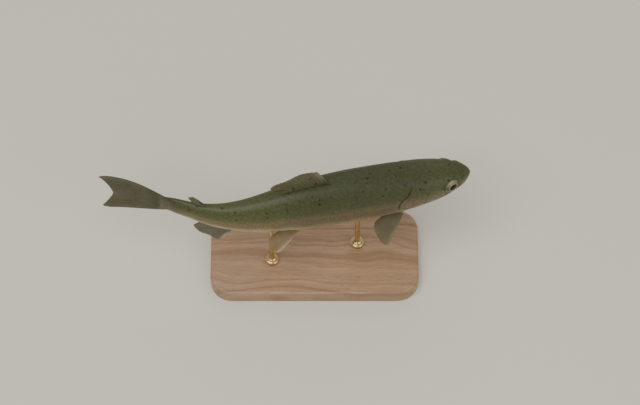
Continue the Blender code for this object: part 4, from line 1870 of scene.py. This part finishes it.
        rows, columns = grid_u.shape
        total = rows * columns
        faces = grid_faces(rows, columns, ring=False)
        faces += [tuple(total + k for k in face[::-1]) for face in faces]
        grid = np.arange(total).reshape(rows, columns)
        margin = np.concatenate([grid[:, 0], grid[-1, 1:], grid[-2::-1, -1], grid[0, -2:0:-1]])
        after = np.roll(margin, -1)
        faces += np.stack([after, margin, total + margin, total + after], -1).tolist()
        layers = np.stack([middle + across * half, middle - across * half])
        mesh = make_mesh(f"rayed_{self.name}", layers, faces, 80.0)
        x, y = self.shape(grid_u, grid_v)
        length = self.form.length
        for name, values in (
            ("fin", np.stack([ridge, grid_u, out], -1)),
            ("plan", np.stack([x * length, y * length, 0 * x], -1)),
            ("chart", self.chart(x, y)),
            ("features", np.zeros((total, 3))),
        ):
            add_attribute(mesh, name, np.tile(values.reshape(-1, 3), (2, 1)))
        vertex = numbers_of(mesh.loops, "vertex_index")
        other_side, at = np.divmod(vertex, total)
        place_out = 0.005 + 0.49 * (at % columns) / (columns - 1)
        add_map(mesh, np.stack([(at // columns) / (rows - 1), other_side * 0.5 + place_out], -1))
        add_piece(mesh, finish, Slot.FINS, self.name)


@dataclass
class PairedFin(RayedFin):
    """A fin on one side of the fish, in a plane of its own.

    Attributes:
        side: which side.
        root: its place, as share, distance from the middle and height, in shares.
        reach_way: the way it reaches, as forwards, to its own side and up.
        chord_way: the way of its chord.
        cup: how far its margin is cupped, in metres.
    """

    side: Side = Side.LEFT
    root: Triple = (0.232, 0.040, -0.066)
    reach_way: Triple = (-0.66, 0.48, -0.58)
    chord_way: Triple = (0.75, 0.55, 0.10)
    cup: float = 1.2 * MM

    def chart(self, share: Array, height: Array) -> Array:
        """Place the body's markings on the fin, for its root."""
        around_root = np.zeros_like(share)
        return super().chart(around_root + self.root[0], around_root + self.root[2])

    def frame(self) -> tuple[Array, Array, Array, Array]:
        """Give the root's point, and the fin's reach, chord and normal.

        Returns:
            The point, and three vectors of length one.
        """
        share, depth, height = self.root
        length, sign = self.form.length, self.side.value
        start = self.form.place(share, sign * depth * length, height * length)
        left = self.form.leftwards(share)
        basis = np.stack([np.cross(left, UP), left * sign, UP])
        reach = unit(np.array(self.reach_way) @ basis)
        chord = np.array(self.chord_way) @ basis
        chord = unit(chord - reach * (chord @ reach))
        return start, reach, chord, np.cross(reach, chord)

    def stand(self, u: Array, v: Array) -> tuple[Array, Array]:
        """Give points of the fin's middle surface, and the way across it there.

        Args:
            u: how far across the fin, from 0 to 1.
            v: how far out, from 0 to 1.

        Returns:
            The points, and vectors of length one.
        """
        start, reach, chord, normal = self.frame()
        x, y = self.shape(u, v)
        length = self.form.length
        wave = np.sin(2 * math.pi * (1.3 * u + 0.1)) * v**2 * self.ripple
        cup = self.cup * (v**2) * (2 * u - 1) ** 2 * self.side.value
        points = start + length * (y[..., None] * reach + x[..., None] * chord)
        points = points + normal * (wave + cup)[..., None]
        return points, np.broadcast_to(normal, points.shape)

    def covered(self, u: Array, v: Array) -> Array:
        """Tell which points of the middle surface lie inside the body.

        Args:
            u: how far across the fin, from 0 to 1.
            v: how far out, from 0 to 1.

        Returns:
            True where they do.
        """
        points, _ = self.stand(u, v)
        shares, x, y, _ = self.form.axis
        away = (points[..., 0, None] - x) ** 2 + (points[..., 1, None] - y) ** 2
        nearest = away.argmin(-1)
        share = shares[nearest]
        offset = points[..., :2] - np.stack([x[nearest], y[nearest]], -1)
        left = (offset * self.form.leftwards(share)[..., :2]).sum(-1)
        height = points[..., 2] - self.form.axis_height
        crest, keel, _, _ = self.form.section(share)
        within = (height < crest) & (height > keel)
        return within & (np.abs(left) < self.form.side_at(share, height))


@dataclass
class FinSet:
    """All the trout's fins, with their outlines as in the solids.

    Attributes:
        form: the body.
        markings: the body's colours, which run out on the fins' roots.
        dorsal: the outline of the large fin on the back.
        adipose: that of the small fleshy one behind it.
        anal: that of the one under the tail stem's start.
        pectoral: that of the pair behind the gill covers.
        pelvic: that of the pair under the belly.
        pelvic_root: where the pelvic fins start, as for a paired fin.
        pelvic_reach: the way they reach.
        pelvic_chord: the way of their chord.
    """

    form: BodyForm
    markings: TroutMarkings
    dorsal: FinOutline = FinOutline((0.445, 0.085), (0.585, 0.075), (0.494, 0.210),
                                    (0.645, 0.152), 0.006, 0.10)
    adipose: FinOutline = FinOutline((0.826, 0.041), (0.860, 0.037), (0.864, 0.092),
                                     (0.900, 0.079), 0.005, 0.25)
    anal: FinOutline = FinOutline((0.745, -0.055), (0.848, -0.033), (0.798, -0.160),
                                  (0.892, -0.106), 0.004, 0.12)
    pectoral: FinOutline = FinOutline((0.016, 0.0), (-0.018, 0.0), (0.034, 0.132),
                                      (-0.048, 0.096), 0.008, 0.10)
    pelvic: FinOutline = FinOutline((0.015, 0.0), (-0.015, 0.0), (0.018, 0.118),
                                    (-0.050, 0.090), 0.012, 0.18)
    pelvic_root: Triple = (0.555, 0.018, -0.092)
    pelvic_reach: Triple = (-0.80, 0.44, -0.42)
    pelvic_chord: Triple = (0.40, 0.85, 0.10)

    def build(self) -> None:
        """Make every fin with its own rays and finish."""
        form = self.form
        for finish, fin in (
            (FinFinish("dorsal_fin_skin", (0.100, 0.101, 0.050), (0.050, 0.052, 0.025),
                       tip_share=0.18, spots=0.66),
             RayedFin(form, "dorsal_fin", self.dorsal.shape, 13, stiff=3, seed=5)),
            (FinFinish("adipose_fin_skin", (0.075, 0.075, 0.038), (0.060, 0.060, 0.030),
                       (0.014, 0.014, 0.010), 0.5, 0.35),
             RayedFin(form, "adipose_fin", self.adipose.shape, 5, stiff=5, membrane=0.42 * MM,
                      ray=0.03 * MM, flesh=0.5 * MM, ripple=0.2 * MM, fray=0.006, out=30,
                      seed=6)),
            (FinFinish("anal_fin_skin", (0.086, 0.080, 0.042), (0.052, 0.048, 0.025),
                       tip_share=0.50),
             RayedFin(form, "anal_fin", self.anal.shape, 12, stiff=3, seed=7)),
            (FinFinish("tail_fin_skin", (0.064, 0.066, 0.027), (0.036, 0.038, 0.014),
                       spots=0.66, root_reach=0.14),
             RayedFin(form, "caudal_fin", TailOutline().shape, 21, both_ends_stiff=True,
                      ray=0.30 * MM, ripple=0.6 * MM, flesh=0.30 * MM, sink=5.5 * MM,
                      fray=0.009, out=60, seed=8)),
        ):
            fin.build(finish.material(self.markings))
        breast, belly = (finish.material(self.markings) for finish in (
            FinFinish("pectoral_fin_skin", (0.108, 0.092, 0.044), (0.062, 0.053, 0.026),
                      tip_share=0.10, root_reach=0.10),
            FinFinish("pelvic_fin_skin", (0.215, 0.155, 0.070), (0.140, 0.098, 0.044),
                      tip_share=0.22, root_reach=0.12)))
        for side in Side:
            word = side.name.lower()
            PairedFin(form, f"pectoral_fin_{word}", self.pectoral.shape, 14, stiff=1, seed=9,
                      side=side).build(breast)
            PairedFin(form, f"pelvic_fin_{word}", self.pelvic.shape, 10, stiff=1, seed=10,
                      side=side, root=self.pelvic_root, reach_way=self.pelvic_reach,
                      chord_way=self.pelvic_chord).build(belly)


# ------------ eyes
@dataclass
class TroutEye:
    """One eye: a flattened ball with a bulging clear front, and the rim round it.

    Attributes:
        form: the body.
        fit: where the eye sits.
        side: which side of the fish.
        bulge: how far the clear front stands out over the pupil.
        bulge_radius: the radius of that front.
        rim: the thickness of the skin's rim round the opening.
        segments: how many faces go round the ball.
        rings: how many go from its front to its rear.
    """

    form: BodyForm
    fit: EyeFit
    side: Side
    bulge: float = 0.22 * MM
    bulge_radius: float = 4.2 * MM
    rim: float = 0.34 * MM
    segments: int = 72
    rings: int = 44

    def around(self, radius: Array, angle: Array, lift: Array) -> Array:
        """Put points round the eye's middle.

        Args:
            radius: how far from the middle line they lie.
            angle: round it, from the way ahead to the way up.
            lift: how far out of the skin they lie.

        Returns:
            The points, one to a row.
        """
        centre, out, ahead, above = self.fit.frame(self.form, self.side)
        x, y, z = (part[..., None] for part in np.broadcast_arrays(
            radius * np.cos(angle), radius * np.sin(angle), lift))
        return (centre + x * ahead + y * above + z * out).reshape(-1, 3)

    def ball(self, finish: Material) -> None:
        """Make the eyeball, which stands for the eye's solid.

        Args:
            finish: its material.
        """
        fit = self.fit
        slope = math.pi * np.arange(1, self.rings)[:, None] / self.rings
        angle = 2 * math.pi * np.arange(self.segments) / self.segments
        radius = fit.radius * np.sin(slope) + 0 * angle
        lift = fit.depth * np.cos(slope) + (fit.stands_out - fit.depth)
        lift = lift + self.bulge * bell(radius, self.bulge_radius) * (slope < QUARTER)
        ends = np.array([fit.stands_out + self.bulge, fit.stands_out - 2 * fit.depth])
        points = np.vstack([self.around(radius, angle, lift), self.around(0 * ends, 0.0, ends)])
        word = self.side.name.lower()
        mesh = make_mesh(f"eyeball_{word}", points, poled_faces(*radius.shape), 180.0)
        off = np.where(slope > QUARTER, fit.radius, radius)
        gaze = np.stack([radius * np.cos(angle), radius * np.sin(angle), off], -1) / fit.radius
        add_attribute(mesh, "gaze", np.vstack([gaze.reshape(-1, 3), [[0, 0, 0], [0, 0, 1]]]))
        add_piece(mesh, finish, Slot.EYES, f"eye_{word}")

    def lid(self, finish: Material) -> None:
        """Make the thin fleshy rim between the skin and the eyeball.

        Args:
            finish: the skin's material.
        """
        fit, rows, count = self.fit, 96, 12
        angle = 2 * math.pi * np.arange(rows)[:, None] / rows
        tube = 2 * math.pi * np.arange(count) / count
        lift = fit.front(fit.opening) - 0.08 * MM + self.rim * 0.8 * np.sin(tube)
        points = self.around(fit.opening + self.rim * (0.2 + np.cos(tube)), angle, lift)
        mesh = make_mesh(f"eye_rim_{self.side.name.lower()}", points,
                         grid_faces(rows, count, hoop=True), 180.0)
        turn = np.repeat(angle, count)
        along = fit.share * self.form.length - fit.opening * np.cos(turn)
        add_attribute(mesh, "chart", np.column_stack(
            [along, 0.02 + 0.004 * np.sin(turn), 0.45 + 0.25 * np.sin(turn)]))
        # The rim takes a little painted shade, and the darker tone near the eye.
        add_attribute(mesh, "features", np.tile([0.15, 0.8, 0.0], (rows * count, 1)))
        add_piece(mesh, finish, Slot.SKIN)


# ------------ stand
@dataclass
class DisplayStand:
    """A flat wooden base and two brass rods up to the belly, each in a collar.

    Attributes:
        form: the body that it carries.
        size: the base's length, width and height.
        corner: the radius of its corners.
        bevel: the rounding of its upper edge.
        rod_radius: the rods' radius.
        rod_shares: where the rods meet the belly, as shares of the fish's length.
        collar: a collar's radius and height.
        gap: between the base and what stands on it.
    """

    form: BodyForm
    size: Triple = (0.170, 0.078, 0.013)
    corner: float = 0.018
    bevel: float = 0.0025
    rod_radius: float = 0.0020
    rod_shares: tuple[float, float] = (0.36, 0.64)
    collar: tuple[float, float] = (0.0055, 0.006)
    gap: float = 0.3 * MM

    def base(self, finish: Material) -> None:
        """Make the base with rounded corners and edges.

        Args:
            finish: its material.
        """
        length, width, height = self.size
        chamfer, steps = 0.4 * MM, 17
        turn = QUARTER * (np.arange(4)[:, None] + np.linspace(0.0, 1.0, steps)).ravel()
        ways = np.column_stack([np.cos(turn), np.sin(turn)])
        signs = np.repeat([(1, 1), (-1, 1), (-1, -1), (1, -1)], steps, axis=0)
        middles = signs * (np.array([length, width]) / 2 - self.corner)
        bend = QUARTER * np.arange(7) / 6
        insets = [chamfer, 0.0, *(self.bevel * (1 - np.cos(bend)))]
        heights = [0.0, chamfer, *(height - self.bevel * (1 - np.sin(bend)))]
        rings = [np.column_stack([middles + ways * (self.corner - inset), np.full(len(turn), z)])
                 for inset, z in zip(insets, heights)]
        rows, count = len(rings), len(turn)
        faces = grid_faces(rows, count)
        faces += [tuple(range(count)), tuple(reversed(range((rows - 1) * count, rows * count)))]
        mesh = make_mesh("wooden_base", np.vstack(rings), faces, 40.0)
        add_piece(mesh, finish, Slot.WOOD, "stand_base")

    def posts(self, finish: Material) -> None:
        """Make the rods, which end just inside the skin, and their collars.

        Args:
            finish: their material.
        """
        low, rim = self.size[2] + self.gap, self.size[2] + self.collar[1]
        radius, (wide, tall) = self.rod_radius, self.collar
        bore = radius + 0.05 * MM
        collar = [
            (bore, low), (wide - 0.25 * MM, low), (wide, low + 0.25 * MM),
            (wide, low + 0.45 * tall), (wide - 0.5 * MM, low + 0.55 * tall),
            (wide - 1.4 * MM, low + 0.62 * tall), (wide - 1.7 * MM, low + 0.80 * tall),
            (bore + 0.5 * MM, rim), (bore, rim - 0.2 * MM),
        ]
        for word, share in zip(("front", "rear"), self.rod_shares):
            x, y, _ = self.form.place(share, 0.0, 0.0)
            _, keel, _, _ = self.form.section(share)
            end = self.form.axis_height + float(keel) + 1.2 * MM
            rod = [(radius - 0.2 * MM, low), (radius, low + 0.2 * MM), (radius, end)]
            points = np.vstack([turned(rod, x, y, 40), [(x, y, low), (x, y, end)]])
            mesh = make_mesh(f"brass_rod_{word}", points, poled_faces(len(rod), 40), 40.0)
            add_piece(mesh, finish, Slot.BRASS, f"stand_rod_{word}")
            mesh = make_mesh(f"brass_collar_{word}", turned(collar, x, y, 48),
                             grid_faces(len(collar), 48, hoop=True), 30.0)
            add_piece(mesh, finish, Slot.BRASS, f"stand_collar_{word}")


# ------------ studio
@dataclass
class Studio:
    """A pale floor, soft light from above, and the camera over the fish's right side.

    Attributes:
        elevation: the camera's angle over the horizon, in degrees.
        distance: how far it stands off.
        lens: its focal length in millimetres.
        aim: the point that it looks at.
        floor_colour: the floor's colour.
    """

    elevation: float = 62.0
    distance: float = 2.0
    lens: float = 142.5
    aim: Triple = (0.0045, 0.0, 0.0985)
    floor_colour: Triple = (0.66, 0.63, 0.55)

    def camera(self) -> None:
        """Set the camera at the viewing angle."""
        data = bpy.data.cameras.new("camera")
        data.lens = self.lens
        data.clip_end = 20.0
        camera = link("camera", data)
        tilt = math.radians(self.elevation)
        away = Vector((0.0, -math.cos(tilt), math.sin(tilt))) * self.distance
        camera.location = Vector(self.aim) + away
        camera.rotation_euler = (-away).to_track_quat("-Z", "Y").to_euler()
        bpy.context.scene.camera = camera

    def lamp(self, name: str, place: Triple, size: float, power: float,
             colour: Triple) -> None:
        """Hang one soft square lamp that faces the fish.

        Args:
            name: its name.
            place: where it hangs.
            size: the length of its sides.
            power: its power in watts.
            colour: its light's colour.
        """
        data = bpy.data.lights.new(name, "AREA")
        data.shape = "SQUARE"
        data.size, data.energy, data.color = size, power, colour
        lamp = link(name, data)
        lamp.location = place
        way = Vector(self.aim) - Vector(place)
        lamp.rotation_euler = way.to_track_quat("-Z", "Y").to_euler()

    def floor(self) -> None:
        """Lay the floor, which isn't part of the model."""
        half = 6.0
        corners = [(-half, -half, 0), (half, -half, 0), (half, half, 0), (-half, half, 0)]
        mesh = make_mesh("floor", corners, [(0, 1, 2, 3)])
        mesh.materials.append(
            Shader("pale_floor").finish(Base_Color=self.floor_colour, Roughness=0.85))
        link("floor", mesh)

    def build(self) -> None:
        """Set up floor, light and camera."""
        self.camera()
        self.floor()
        self.lamp("key_light", (-0.5, -0.6, 1.8), 1.3, 27.0, (1.0, 0.98, 0.93))
        self.lamp("fill_light", (1.3, -1.0, 1.0), 1.2, 7.0, (1.0, 0.98, 0.95))
        self.lamp("rear_light", (0.2, 1.3, 1.1), 1.4, 4.0, (1.0, 0.99, 0.97))
        world = bpy.data.worlds.new("studio")
        world.use_nodes = True
        sky = world.node_tree.nodes["Background"]
        sky.inputs["Color"].default_value = (0.90, 0.89, 0.86, 1.0)
        sky.inputs["Strength"].default_value = 0.55
        bpy.context.scene.world = world


def main() -> None:
    """Build the model around its solids, piece by piece."""
    logging.basicConfig(level=logging.INFO, format="%(name)s: %(message)s")
    form, eye, markings = BodyForm(), EyeFit(), TroutMarkings()
    skin = TroutSkin(form, HeadRelief(form, eye))
    skin_finish = SkinFinish().material(markings)
    skin.build(skin_finish)
    scale_finish = ScaleFinish().material(markings)
    for side in Side:
        ScaleCoat(form, skin, side).build(scale_finish)
    FinSet(form, markings).build()
    eye_finish = EyeFinish().material()
    for side in Side:
        TroutEye(form, eye, side).ball(eye_finish)
        TroutEye(form, eye, side).lid(skin_finish)
    stand = DisplayStand(form)
    stand.base(WoodFinish().material())
    stand.posts(BrassFinish().material())
    Studio().build()


if __name__ == "__main__":
    main()
